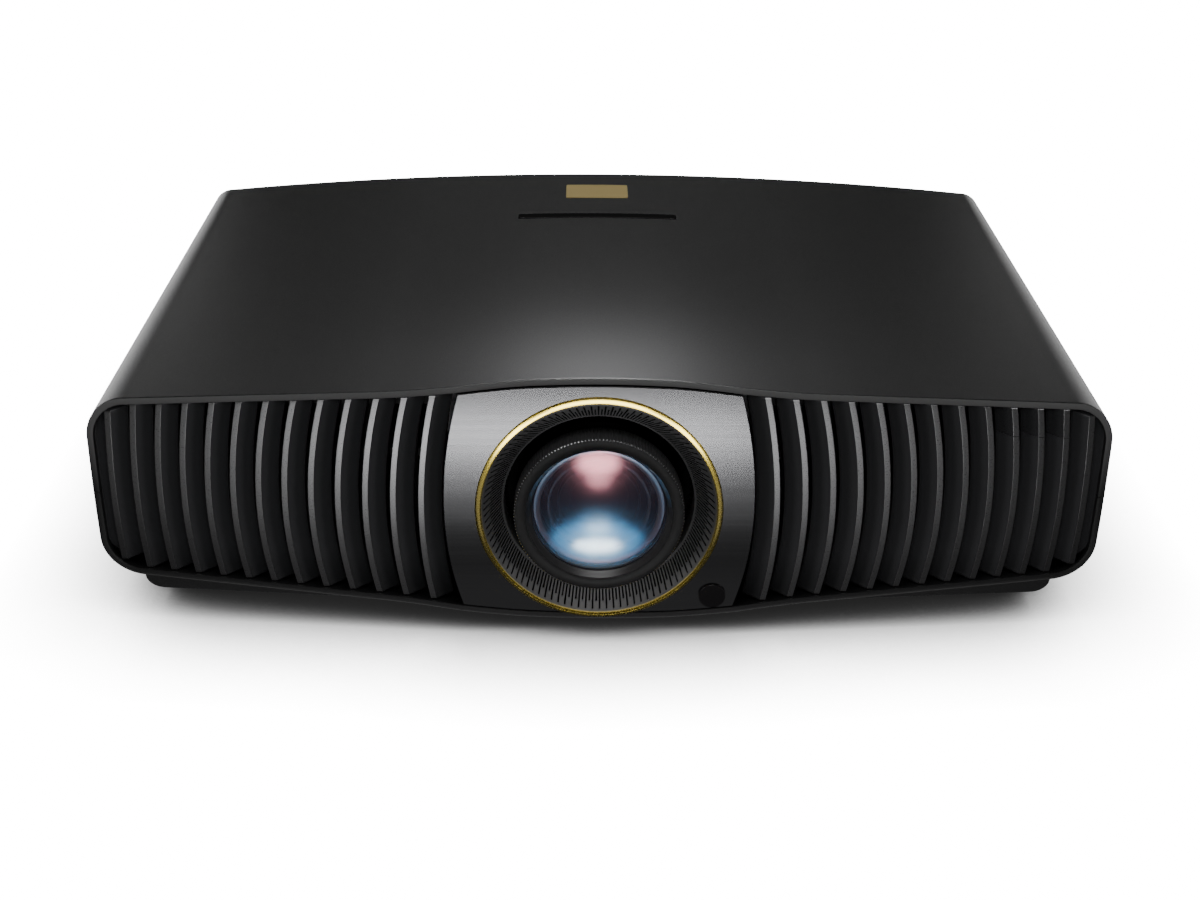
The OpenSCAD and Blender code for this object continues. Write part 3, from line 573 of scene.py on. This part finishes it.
def make_case():
    """Both shells, with the keypad's opening in the left side wall."""
    places = top_section()
    at_z = {z: i for i, (kind, side, z) in enumerate(places) if kind == "side" and side == -1}
    window = ((at_z[KEY_Z[1]], at_z[KEY_Z[0]]), KEY_Y)
    # the top cover's front lip takes the material with painted light and shade
    top = shell("top_cover_shell", places, top_point, MAT["case"], MAT["case_edge_painted_light"], window)
    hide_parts("top_cover")
    low = shell("bottom_case_shell", low_section(), low_point, MAT["case_low"], MAT["case_low"])
    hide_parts("bottom_case")


# ---------- louvred grilles ----------

GRILLE_Y = -140.0             # front of the frame behind the fins
RAILS_Z = ((58.0, 62.0), (86.0, 90.0))
BOW_REACH = 62.0              # height over which the fins curve in
BOW_DROP = 5.0                # how far below the lens axis they are straightest
FIN_STEPS = 44                # of a fin's height
FIN_CURL = 0.7                # round of a front edge's ends
FIN_BRIGHT = range(3, 8)      # steps of a fin's section that lie across its front edge
FIN_SHARP = 28                # degrees from which a fin's edges stay sharp
CAP_SEAM = 0.25               # seam under a status cap


def fin_face(i):
    """Width of the slanted face beside fin i's front edge."""
    return 8 - 0.11 * i


def fin_bow(i):
    """How far fin i's ends curve in towards the lens."""
    return 6.85 + 0.85 * i - 0.1 * i * i


def fin_x(i, z):
    """X of fin i's front edge at height z, for the right-hand side."""
    middle = FIN_FIRST + FIN_PITCH * i - FIN_CLOSING * i * i
    return middle - fin_bow(i) * ((z - AXIS_Z + BOW_DROP) / BOW_REACH) ** 2


def fin_ends(i):
    """Heights of fin i's foot and top."""
    h = FIN_EDGE / 2
    return over_floor(fin_x(i, 24) + h) + FIN_GAP, under_roof(fin_x(i, 122) + h) - FIN_GAP


def fin_section(i, z, back_off, back):
    """Plan section of fin i at height z: a softly rounded front edge, the slanted face, the web.

    back_off sets the front edge back, and back is the web's rear end.
    """
    x, y = fin_x(i, z), front_y(fin_x(i, z), z) + FIN_INSET + back_off
    h, r = FIN_EDGE / 2, 0.25                       # half the edge's width, and its rounds
    w = x - h - fin_face(i)                         # where the slanted face meets the web
    points = [(x + h, y + 2.0), (x + h, y + r)]
    points += [(x + h - r + r * math.cos(a), y + r - r * math.sin(a)) for a in (0.5, 1.0, math.pi / 2)]
    points += [(x + h - r - 0.06, y), (x - h + r + 0.06, y)]
    points += [(x - h + r * 0.8, y), (x - h + 0.05, y + 0.06), (x - h - 0.15, y + 0.25)]
    points += [(w + 0.3, y + 6.7), (w, y + 7.2)]
    points += [(w, back), (w + 2.2, back), (w + 2.2, y + 9.2)]
    return points


def fin_mesh(i, z0, z1, verts, faces, bright, side, back, round_top=True, round_foot=True):
    """Adds one fin between two heights; its front edge is rounded off at the ends."""
    steps, curl = FIN_STEPS, FIN_CURL
    base = len(verts)
    for j in range(steps + 1):
        t = (1 - math.cos(math.pi * j / steps)) / 2
        z = z0 + (z1 - z0) * t
        near = min(z1 - z if round_top else curl, z - z0 if round_foot else curl, curl)
        off = curl - math.sqrt(max(0.0, curl ** 2 - (curl - near) ** 2))
        section = fin_section(i, z, off, back)
        cols = len(section)
        verts += [(side * x, y, z) for x, y in section]
    bright += [len(faces) + j * cols + k for j in range(steps) for k in FIN_BRIGHT]
    faces += [tuple(base + v for v in f) for f in grid_faces(steps + 1, cols, close_cols=True)]
    faces.append(tuple(base + k for k in range(cols)))
    faces.append(tuple(base + steps * cols + k for k in reversed(range(cols))))


def grille_frame(verts, faces, side):
    """The frame behind the fins: a rim that follows the case, and two cross rails."""
    y0, y1 = GRILLE_Y, GRILLE_Y + 3.5
    x0, x1, n = 74.0, HALF_W - 4, 40
    xs = [x0 + (x1 - x0) * i / n for i in range(n + 1)]
    bands = [
        ([over_floor(x) + 0.4 for x in xs], [max(34.0, over_floor(x) + 1) for x in xs]),
        *(([lo] * (n + 1), [hi] * (n + 1)) for lo, hi in RAILS_Z),
        ([min(114.0, under_roof(x) - 1.2) for x in xs], [under_roof(x) - 0.6 for x in xs]),
    ]
    for lows, highs in bands:
        base = len(verts)
        for x, lo, hi in zip(xs, lows, highs):
            verts += [(side * x, y0, lo), (side * x, y0, hi), (side * x, y1, hi), (side * x, y1, lo)]
        faces += [tuple(base + v for v in f) for f in grid_faces(n + 1, 4, close_cols=True)]
        faces.append(tuple(base + k for k in range(4)))
        faces.append(tuple(base + n * 4 + k for k in range(4)))


def end_face(verts, faces, side):
    """The slanted strip between the outermost fin and the case's side wall."""
    steps, z0, z1 = 30, 31.0, 112.0
    out = HALF_W - WALL - 0.4
    into = out - 4.4
    base = len(verts)
    for j in range(steps + 1):
        z = z0 + (z1 - z0) * j / steps
        y = front_y(HALF_W, z) + FIN_INSET
        section = ((out, y + 1.6), (into, y + 6.2), (into, y + 9), (out, y + 9))
        verts += [(side * x, yy, z) for x, yy in section]
    faces += [tuple(base + v for v in f) for f in grid_faces(steps + 1, 4, close_cols=True)]
    faces.append(tuple(base + k for k in range(4)))
    faces.append(tuple(base + steps * 4 + k for k in range(4)))


def make_grilles():
    """Both grilles; the status caps stand in for the tops of three fins of the right one."""
    for side, node in ((-1, "left_grille"), (1, "right_grille")):
        verts, faces, bright = [], [], []
        grille_frame(verts, faces, side)
        for i in range(FINS):
            z0, z1 = fin_ends(i)
            capped = side > 0 and i in STATUS_FINS
            top = z1 - CAP_H if capped else z1
            fin_mesh(i, z0, top, verts, faces, bright, side, GRILLE_Y + 1, round_top=not capped)
        end_face(verts, faces, side)
        fins = finish_mesh(node + "_louvres", verts, faces, MAT["grille"], "chassis",
                           FIN_SHARP, (MAT["fin_edge"], bright))
        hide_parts(node)
    verts, faces, bright = [], [], []
    for i in STATUS_FINS:
        z1 = fin_ends(i)[1]
        foot = z1 - CAP_H + CAP_SEAM
        fin_mesh(i, foot, z1, verts, faces, bright, 1, GRILLE_Y - 0.06, round_foot=False)
    caps = finish_mesh("status_caps", verts, faces, MAT["caps"], "chassis",
                       FIN_SHARP, (MAT["fin_edge"], bright))
    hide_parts("status_light_caps")


# ---------- the middle of the front ----------

PANEL_GAP = 0.8               # between the panel and the shells
PANEL_INSET = 0.6             # how far it stands back from them at its middle
PANEL_LEAN = 0.72             # its share of the shells' lean above the lens
PANEL_HALF = 74.6             # half its width, where it is widest
PANEL_NARROW = 9.3            # how much that is less at its upper and lower edges
HOLE_R = RING_R + 0.15
RING_TILT = 0.9               # how far the trim ring's top stands back, and its foot forward
RING_STEPS = 256


def panel_y(z):
    """The panel leans less than the shells above the lens, so its upper edge stands just proud."""
    return FACE_Y + PANEL_INSET + lean(z) * (PANEL_LEAN if z > LEAN_Z else 1)


def panel_half(z):
    """Half the panel's width at height z."""
    return PANEL_HALF - PANEL_NARROW * ((z - 74) / 62) ** 2


def panel_rim(a):
    """Where the panel's outline lies in the direction a from the lens axis."""
    lo, hi = 0.0, 200.0
    dx, dz = math.sin(a), math.cos(a)
    for _ in range(40):
        r = (lo + hi) / 2
        x, z = r * dx, AXIS_Z + r * dz
        inside = (abs(x) < panel_half(z) and over_floor(x) + PANEL_GAP < z < under_roof(x) - PANEL_GAP)
        lo, hi = (r, hi) if inside else (lo, r)
    return lo


def make_panel():
    """A brushed panel, domed with the front, with rounded edges and the round lens opening."""
    steps = 1440
    rows = [(0.0, 3.2), (0.0, 0.4), (0.12, 0.12), (0.4, 0.0)]         # (in from the edge, back)
    verts = []
    for i in range(steps):
        a = 2 * math.pi * (i + 0.5) / steps
        rim = panel_rim(a)
        face = rim - 0.5 - HOLE_R - 0.3                               # width of the flat face
        radii = [(rim - d, b) for d, b in rows]
        radii += [(HOLE_R + 0.3 + face * t, 0.0) for t in (0.85, 0.65, 0.45, 0.25, 0.1, 0.0)]
        radii += [(HOLE_R, 0.3), (HOLE_R, 3.2)]
        for r, b in radii:
            x, z = r * math.sin(a), AXIS_Z + r * math.cos(a)
            verts.append((x, panel_y(z) + b, z))
    faces = grid_faces(steps, len(verts) // steps, close_rows=True, close_cols=True)
    panel = finish_mesh("lens_panel_sheet", verts, faces, MAT["panel"], "chassis", angle=14)
    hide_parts("lens_panel")


def make_ring():
    """A trim ring whose face slopes outwards and back, and which leans a little with the front."""
    inner = RING_R - RING_W
    y = FACE_Y - 0.5
    profile = [(inner, y + 7.5), (inner, y + 0.25), (inner + 0.2, y), (inner + 0.35, y + 0.05),
               (RING_R - 0.15, y + 1.25), (RING_R, y + 1.5), (RING_R, y + 7.5)]

    def tilt(i, k, r, yy):
        return r, yy + RING_TILT * math.cos(2 * math.pi * i / RING_STEPS), 0.0
    ring = turned("gold_trim_ring", profile, MAT["gold"], "chassis", RING_STEPS, tilt, angle=40)
    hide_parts("lens_ring")


FUNNEL_OUT = RING_R - RING_W - 0.1
FUNNEL_IN = 46.0
GROOVES = 200
GROOVE_STARTS = (0.42, 0.10)  # of short and long grooves, as shares of the cone's depth
GROOVE_END = 0.93
GROOVE_DEPTH = 1.6
GROOVE_SWEEP = 7.5            # degrees by which the grooves turn on their way in


def make_funnel():
    """A cone with radial grooves, long and short in turn, that narrows to the lens opening."""
    per = 6                                                        # steps to a groove
    steps = GROOVES * per
    rows = 26
    wide = FUNNEL_OUT - 0.5
    profile = [(FUNNEL_OUT, FACE_Y + 6), (FUNNEL_OUT, FACE_Y + 0.8)]
    for k in range(rows + 1):
        t = k / rows
        profile.append((wide - (wide - FUNNEL_IN - 0.8) * t, FACE_Y + 0.5 + 9.2 * t))
    profile += [(FUNNEL_IN + 0.2, FACE_Y + 10.1), (FUNNEL_IN, FACE_Y + 10.8), (FUNNEL_IN, FACE_Y + 21.5),
                (FUNNEL_IN + 2.4, FACE_Y + 21.5), (FUNNEL_OUT, FACE_Y + 8.8)]

    def ripple(i, k, r, y):
        row = k - 2
        if not 0 < row < rows:
            return r, y, swing_at(i, 1.0 if row >= rows else 0.0)
        groove, phase = divmod(i, per)
        t = row / rows
        start, end = GROOVE_STARTS[groove % 2], GROOVE_END
        along = blend(start - 0.03, start + 0.02, t) * (1 - blend(end - 0.03, end + 0.02, t))
        dip = GROOVE_DEPTH * along if phase in (3, 4) else 0.0
        return r + 0.6 * dip, y + 0.8 * dip, swing_at(i, t)

    def swing_at(i, t):
        """The grooves sweep up towards their inner ends, most at the sides."""
        across = math.sin(2 * math.pi * i / steps)
        return -math.radians(GROOVE_SWEEP) * t * math.copysign(abs(across) ** 1.3, across)

    # The faces in the grooves take the near-black colour, painted shade.
    def in_groove(i, k):
        groove, phase = divmod(i, per)
        return phase in (2, 3, 4) and GROOVE_STARTS[groove % 2] <= (k - 2) / rows < GROOVE_END
    # the cone's colour carries painted light: a highlight at its bottom middle and shade at its top and
    # sides
    funnel = turned("lens_funnel_cone", profile, MAT["funnel"], "chassis", steps, ripple, 40,
                    second=(MAT["slit"], in_groove))
    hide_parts("lens_funnel")


# ---------- the lens ----------

RIM_R = 40.9
RIM_Y = -175.4
GLASS_R = 32.6


def make_cell():
    """The front rim: a knurled side with a fine serrated edge, a flat ring, a bevel, dark baffles."""
    teeth, per = 150, 6
    steps = teeth * per
    y = RIM_Y
    side = [(RIM_R - 0.2, 13.2), (RIM_R, 12.6), (RIM_R, 7.0), (RIM_R, 1.2), (RIM_R, 0.5)]
    face = [(RIM_R - 0.25, 0.1), (RIM_R - 0.6, 0.0), (38.4, 0.02), (35.3, 0.05), (35.0, 0.2)]
    baffles = [(34.9, 0.8), (34.7, 1.2), (33.9, 2.2), (33.7, 2.7), (32.9, 3.7), (32.7, 4.0),
               (32.7, 5.4), (31.9, 5.8), (31.9, 30.0), (33.9, 30.2), (33.9, 13.4)]
    profile = [(r, y + back) for r, back in side + face + baffles]

    def knurl(i, k, r, yy):
        if 1 <= k <= 5:
            wave = (0.0, 0.10, 0.22, 0.22, 0.10, 0.0)[i % per]
            return r - wave * (1.6 if k in (4, 5) else 1.0), yy, 0.0
        return r, yy, 0.0
    cell = turned("front_rim", profile, MAT["rim"], "front_group", steps, knurl, angle=32,
                  second=(MAT["steel"], lambda i, k: k in (4, 5) and i % per in (0, 5)))
    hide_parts("front_cell")


def cap(name, radius, edge_y, sag, material, rings=28):
    """A lens element's front face: a spherical cap whose edge stands at edge_y."""
    curve = (radius ** 2 + sag ** 2) / (2 * sag)
    profile = []
    for k in range(rings + 1):
        r = radius * (1 - k / rings)
        bulge = math.sqrt(curve ** 2 - r ** 2) - (curve - sag)
        profile.append((max(r, 0.02), edge_y - bulge))
    return turned(name, profile, material, "front_group", steps=128, angle=60, closed=False)


def element_ring(name, r_in, r_out, y0, y1):
    """A thin blackened mounting ring with bevelled edges, round an inner element."""
    profile = [(r_out, y1), (r_out, y0 + 0.3), (r_out - 0.25, y0),
               (r_in + 0.3, y0), (r_in, y0 + 0.35), (r_in, y1)]
    return turned(name, profile, MAT["mount_ring"], "front_group", steps=160, angle=50)


def make_glass():
    """The front element and, behind it, the inner elements in their mounting rings."""
    pieces = [cap("front_glass", GLASS_R - 0.05, -171.2, 3.7, MAT["front_glass"]),
              cap("second_element", 28.4, -166.0, 5.0, MAT["coated_a"]),
              cap("third_element", 23.6, -163.4, 4.0, MAT["coated_b"]),
              cap("fourth_element", 19.2, -161.2, 3.4, MAT["coated_c"]),
              cap("fifth_element", 13.6, -158.6, 2.6, MAT["coated_d"]),
              cap("inner_stop", 31.7, -152.0, 1.0, MAT["lens_black"]),
              element_ring("element_ring_a", 28.5, 31.7, -167.4, -160.0),
              element_ring("element_ring_b", 23.7, 25.0, -164.6, -158.0),
              element_ring("element_ring_c", 19.3, 20.2, -162.2, -157.0),
              element_ring("element_ring_d", 13.7, 14.4, -159.4, -155.0)]
    for piece in pieces:
        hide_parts("front_lens")
    return pieces


# ---------- the badge ----------

BADGE_Y, BAR_Y = 134.0, 84.0


def roof_height(x, y):
    """Height of the roof at a point."""
    start = front_y(x, ROOF_FRONT_Z)
    return roof_z(x, (y - start) / (back_y(x) - start))


def inlay(name, half_x, half_y, at_y, material, rise, round_r):
    """A thin plate that follows the roof, with rounded corners and a softened edge.

    It stands rise above the roof; the rings that fill its top carry the roof's curve inwards.
    """
    bevel, fill = 0.12, 10
    outline = []
    flat_x, flat_y = half_x - round_r, half_y - round_r
    corners = ((1, 1, 0, -1, 0), (-1, 1, 90, 0, -1), (-1, -1, 180, 1, 0), (1, -1, 270, 0, 1))
    for cx, cy, a0, step_x, step_y in corners:     # a corner, its first angle, the way to the next
        for a in range(0, 91, 15):
            t = math.radians(a0 + a)
            outline.append((cx * flat_x + round_r * math.cos(t), cy * flat_y + round_r * math.sin(t)))
        x, y = outline[-1]
        parts = 32 if step_x else 6
        outline += [(x + step_x * 2 * flat_x * k / parts, y + step_y * 2 * flat_y * k / parts)
                    for k in range(1, parts)]
    rings = [(1.0, 0.0, 0.02), (1.0, 0.0, rise - bevel), (1.0, bevel, rise)]
    rings += [(1 - k / fill, bevel, rise) for k in range(1, fill)]
    verts = []
    for scale, inset, lift in rings:
        for x, y in outline:
            fx, fy = scale * (1 - inset / half_x), scale * (1 - inset / half_y)
            verts.append((x * fx, at_y + y * fy, roof_height(x * fx, at_y + y * fy) + lift))
    n = len(outline)
    faces = grid_faces(len(rings), n, close_cols=True)
    verts.append((0, at_y, roof_height(0, at_y) + rise))
    top = (len(rings) - 1) * n
    faces += [(top + j, top + (j + 1) % n, len(verts) - 1) for j in range(n)]
    faces.append(tuple(reversed(range(n))))
    piece = finish_mesh(name, verts, faces, material, "chassis", angle=40)
    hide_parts("top_badge")


def make_badge():
    """A plain gold plate near the rear, and a plain gloss bar in front of it."""
    inlay("badge_plate", 19.0, 13.5, BADGE_Y, MAT["badge"], rise=0.5, round_r=1.0)
    inlay("gloss_bar", 47.0, 4.0, BAR_Y, MAT["bar"], rise=0.4, round_r=1.2)


# ---------- stage ----------

WHITE = 18.0                  # radiance that the view transform shows as pure white
FLOOR_REACH = 0.09            # how far round itself the floor looks for the object
FLOOR_LOOK = (0.0, 0.80, 0.60)        # it looks up and back, so that its shadow falls forward
FLOOR_DEPTH = 4.0             # how strongly its shadow deepens
FLOOR_DARK = 0.02             # its radiance where the object shuts off the whole sky
FLOOR_HALF = 30.0             # half its width, in metres
FELT = 0.025                  # the white backdrop's own light on the object

CAMERA_AT = (-0.008, -0.8929, 0.47295)      # in metres
CAMERA_SHIFT = 0.0144
CAMERA_DOWN = 27.0            # degrees
CAMERA_ROLL = 0.3
CAMERA_LENS = 51.69
CAMERA_SENSOR = 36


def make_camera():
    """The view from the front, a little from above."""
    data = bpy.data.cameras.new("camera")
    data.lens = CAMERA_LENS
    data.sensor_width = CAMERA_SENSOR
    data.shift_x = CAMERA_SHIFT
    cam = bpy.data.objects.new("camera", data)
    cam.location = CAMERA_AT
    tilt = Euler((math.radians(90 - CAMERA_DOWN), 0, 0)).to_quaternion()
    cam.rotation_mode = "QUATERNION"
    cam.rotation_quaternion = tilt @ Quaternion((0, 0, 1), math.radians(CAMERA_ROLL))
    bpy.context.scene.collection.objects.link(cam)
    bpy.context.scene.camera = cam


def make_floor():
    """A white ground that glows by itself and darkens softly where the object shuts off the sky.

    Only the camera sees it, and only from above, so it adds no reflection of its own to the gloss
    and leaves the underside in view.
    """
    mesh = bpy.data.meshes.new("floor")
    corners = [(x * FLOOR_HALF, y * FLOOR_HALF, 0) for x, y in ((-1, -1), (1, -1), (1, 1), (-1, 1))]
    mesh.from_pydata(corners, [], [(0, 1, 2, 3)])
    floor = bpy.data.objects.new("floor", mesh)
    bpy.context.scene.collection.objects.link(floor)
    mat, nodes, links, shader = new_material("floor_white")
    sky = nodes.new("ShaderNodeAmbientOcclusion")
    sky.samples = 32
    sky.inputs["Distance"].default_value = FLOOR_REACH
    sky.inputs["Normal"].default_value = FLOOR_LOOK
    depth = nodes.new("ShaderNodeMath")
    depth.operation = "POWER"
    links.new(sky.outputs["AO"], depth.inputs[0])
    depth.inputs[1].default_value = FLOOR_DEPTH
    glow = ranged(nodes, links, depth.outputs[0], FLOOR_DARK, WHITE)
    shader.inputs["Base Color"].default_value = (0, 0, 0, 1)
    shader.inputs["Specular IOR Level"].default_value = 0.0
    shader.inputs["Emission Color"].default_value = (1, 1, 1, 1)
    links.new(glow, shader.inputs["Emission Strength"])
    facing = nodes.new("ShaderNodeNewGeometry")
    links.new(ranged(nodes, links, facing.outputs["Backfacing"], 1, 0), shader.inputs["Alpha"])
    mesh.materials.append(mat)
    floor.visible_glossy = False
    floor.visible_diffuse = False
    floor.visible_transmission = False
    floor.visible_shadow = False
    return floor


AT_BODY = (0, 0, 0.1)         # points that the lights aim at, in metres
AT_MIDDLE = (0, 0, 0.07)
AT_RING = (0, -0.17, 0.07)
AT_GLASS = (0, -0.16, 0.08)
GOLDEN = (1.0, 0.95, 0.52)

# A light is its name, place, aim, (width, height) and watts, and its colour where that isn't white.
BODY_LIGHTS = (
    ("roof_sheen", (0, 2.6, 2.1), AT_BODY, (1.15, 0.8), 5.9),
    ("front_strip", (-0.06, -2.1, -0.60), (0, -0.17, 0.1), (0.74, 0.10), 2.35),
    ("front_left", (-1.9, -1.2, 0.45), (0, -0.1, 0.07), (0.8, 0.8), 7),
    ("front_right", (1.9, -1.2, 0.45), (0, -0.1, 0.07), (0.8, 0.8), 7),
    ("rim_left", (-0.95, 1.2, -0.05), (-0.24, 0, 0.11), (0.8, 0.9), 6.6),
    ("rim_right", (0.95, 1.2, -0.05), (0.24, 0, 0.11), (0.8, 0.9), 4.6),
    ("top_soft", (0, -0.5, 2.4), AT_BODY, (1.6, 1.2), 6),
)
PIECE_LIGHTS = (              # (pieces, the lights that fall on them alone)
    (("top_cover_shell",),
     (("roof_glow", (0, -0.15, 0.215), (0, -0.15, 0), (0.05, 0.03), 0.26),)),
    (("gold_trim_ring",),
     (("ring_above", (0, -1.3, 1.3), AT_RING, (2.0, 0.9), 52, GOLDEN),
      ("ring_high_left", (-1.4, -1.35, 0.72), AT_RING, (1.3, 0.9), 34, GOLDEN),
      ("ring_high_right", (1.4, -1.35, 0.72), AT_RING, (1.3, 0.9), 32, GOLDEN),
      ("ring_left", (-1.7, -0.8, -0.7), AT_RING, (1.2, 1.2), 0.8),
      ("ring_right", (1.7, -0.8, -0.7), AT_RING, (1.2, 1.2), 0.8))),
    (("lens_funnel_cone",),
     (("funnel_front", (0, -1.6, 0.25), AT_RING, (1.2, 1.0), 16),)),
    (("left_grille_louvres", "right_grille_louvres", "status_caps"),
     (("grille_front", (0, -1.5, 0.9), AT_MIDDLE, (1.4, 0.7), 9.5),)),
    (("front_rim",),
     (("rim_above", (0, -0.55, 1.6), AT_MIDDLE, (1.0, 0.6), 14),)),
    (("lens_panel_sheet",),
     (("panel_low", (0, -1.3, -1.5), AT_MIDDLE, (1.6, 0.8), 0.17),)),
    (("bottom_case_shell", "base_skids", "rear_feet", "left_foot_pad", "right_foot_pad"),
     (("under_soft", (0, -0.4, -1.2), AT_MIDDLE, (1.6, 1.0), 7),)),
    (("rear_panel", "video_ports", "data_ports", "power_inlet", "rear_feet"),
     (("rear_soft", (0, 2.1, 0.7), AT_MIDDLE, (1.6, 0.9), 22),)),
)
GLASS_LIGHTS = (
    ("lens_pink", (0, -1.75, -0.07), AT_GLASS, (0.46, 0.26), 24, (1.0, 0.40, 0.46)),
    ("lens_pink_high", (0, -1.5, 0.75), AT_GLASS, (0.4, 0.4), 12, (1.0, 0.60, 0.62)),
    ("lens_blue", (0, -1.35, -1.0), AT_GLASS, (0.92, 0.56), 24, (0.12, 0.50, 1.0)),
    ("lens_white", (0, -1.3, -1.03), AT_GLASS, (0.44, 0.17), 20, (0.85, 0.97, 1.0)),
    ("lens_left", (-1.3, -1.1, -0.5), AT_GLASS, (0.5, 0.5), 4),
    ("lens_right", (1.3, -1.1, -0.5), AT_GLASS, (0.5, 0.5), 3),
)


def area_light(shape, name, at, target, size, power, colour=(1, 1, 1)):
    """A soft box of size (width, height) metres; power is in watts."""
    data = bpy.data.lights.new(name, "AREA")
    data.shape = shape
    data.size, data.size_y = size
    data.energy = power
    data.color = colour
    light = bpy.data.objects.new(name, data)
    light.location = at
    aim = Vector(target) - Vector(at)
    light.rotation_euler = aim.to_track_quat("-Z", "Y").to_euler()
    bpy.context.scene.collection.objects.link(light)
    return light


def light_up(objects, lights, shape="RECTANGLE"):
    """Lights that fall on these objects alone."""
    for values in lights:
        light = area_light(shape, *values)
        group = bpy.data.collections.new(light.name + "_on")
        for obj in objects:
            group.objects.link(obj)
        light.light_linking.receiver_collection = group


def make_world(seen, felt):
    """A plain white backdrop: seen is its brightness behind the object, felt its light on it."""
    world = bpy.data.worlds.new("studio")
    world.use_nodes = True
    nodes, links = world.node_tree.nodes, world.node_tree.links
    back = nodes["Background"]
    back.inputs["Color"].default_value = (1, 1, 1, 1)
    path = nodes.new("ShaderNodeLightPath")
    level = ranged(nodes, links, path.outputs["Is Camera Ray"], felt, seen)
    links.new(level, back.inputs["Strength"])
    bpy.context.scene.world = world


def make_lights(floor, glass):
    """The studio: broad lights on the body, and lights of their own for some pieces and the glass."""
    make_world(WHITE, FELT)
    shown = {o.name: o for o in bpy.context.scene.objects if o.type == "MESH" and o != floor}
    body = [o for name, o in shown.items() if o not in glass and name != "gold_trim_ring"]
    light_up(body, BODY_LIGHTS)
    for names, lights in PIECE_LIGHTS:
        light_up([shown[name] for name in names], lights)
    light_up(glass, GLASS_LIGHTS, "ELLIPSE")


# ---------- CAD nodes that keep their shape ----------

WELD = 1e-5                   # metres within which a node's doubled points become one
SHARP = 35                    # degrees from which its edges are softened

CAD_LOOKS = {
    "alloy": ("shift_frame", "engine_housing", "dmd_heatsink", "light_module", "light_heatsink"),
    "steel": ("x_guide_rods", "z_guide_rods", "x_leadscrew", "z_leadscrew",
              "left_foot_stud", "right_foot_stud"),
    "carriage": ("x_carriage", "z_carriage"),
    "motor": ("x_shift_motor", "z_shift_motor", "focus_motor", "zoom_motor"),
    "gear": ("focus_pinion", "zoom_pinion"),
    "barrel": ("lens_barrel", "focus_ring", "zoom_ring"),
    "window": ("ir_window",),
    "wheel": ("colour_wheel",),
    "fan": ("exhaust_fan_frame", "intake_fan_frame", "exhaust_fan_rotor", "intake_fan_rotor"),
    "board": ("main_board",),
    "plate_metal": ("power_supply",),
    "base": ("base_skids", "rear_panel"),
    "port": ("video_ports", "data_ports"),
    "socket": ("power_inlet",),
    "keypad": ("keypad_bezel",),
    "screw": ("case_screws",),
    "brass": ("ceiling_inserts",),
    "foot": ("rear_feet", "left_foot_pad", "right_foot_pad"),
}


def dress(node, material, bevel=0.3):
    """Gives a CAD node its material and edges softened by bevel mm; its mesh stays as packed."""
    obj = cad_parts[node]
    obj.data.materials.clear()
    obj.data.materials.append(material)
    for poly in obj.data.polygons:
        poly.use_smooth = True
    weld = obj.modifiers.new("weld", "WELD")
    weld.merge_threshold = WELD
    round_off = obj.modifiers.new("bevel", "BEVEL")
    round_off.width = bevel * MM
    round_off.segments = 2
    round_off.limit_method = "ANGLE"
    round_off.angle_limit = math.radians(SHARP)
    round_off.harden_normals = True
    obj.modifiers.new("normals", "WEIGHTED_NORMAL")


clear_scene()
MAT = make_materials()
make_camera()
make_case()
make_grilles()
make_panel()
make_ring()
make_funnel()
make_cell()
glass_pieces = make_glass()
make_badge()
for look, node_names in CAD_LOOKS.items():
    for node_name in node_names:
        dress(node_name, MAT[look])
for node_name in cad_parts:
    if node_name.endswith("_button"):
        dress(node_name, MAT["key"], bevel=0.4)
make_lights(make_floor(), glass_pieces)
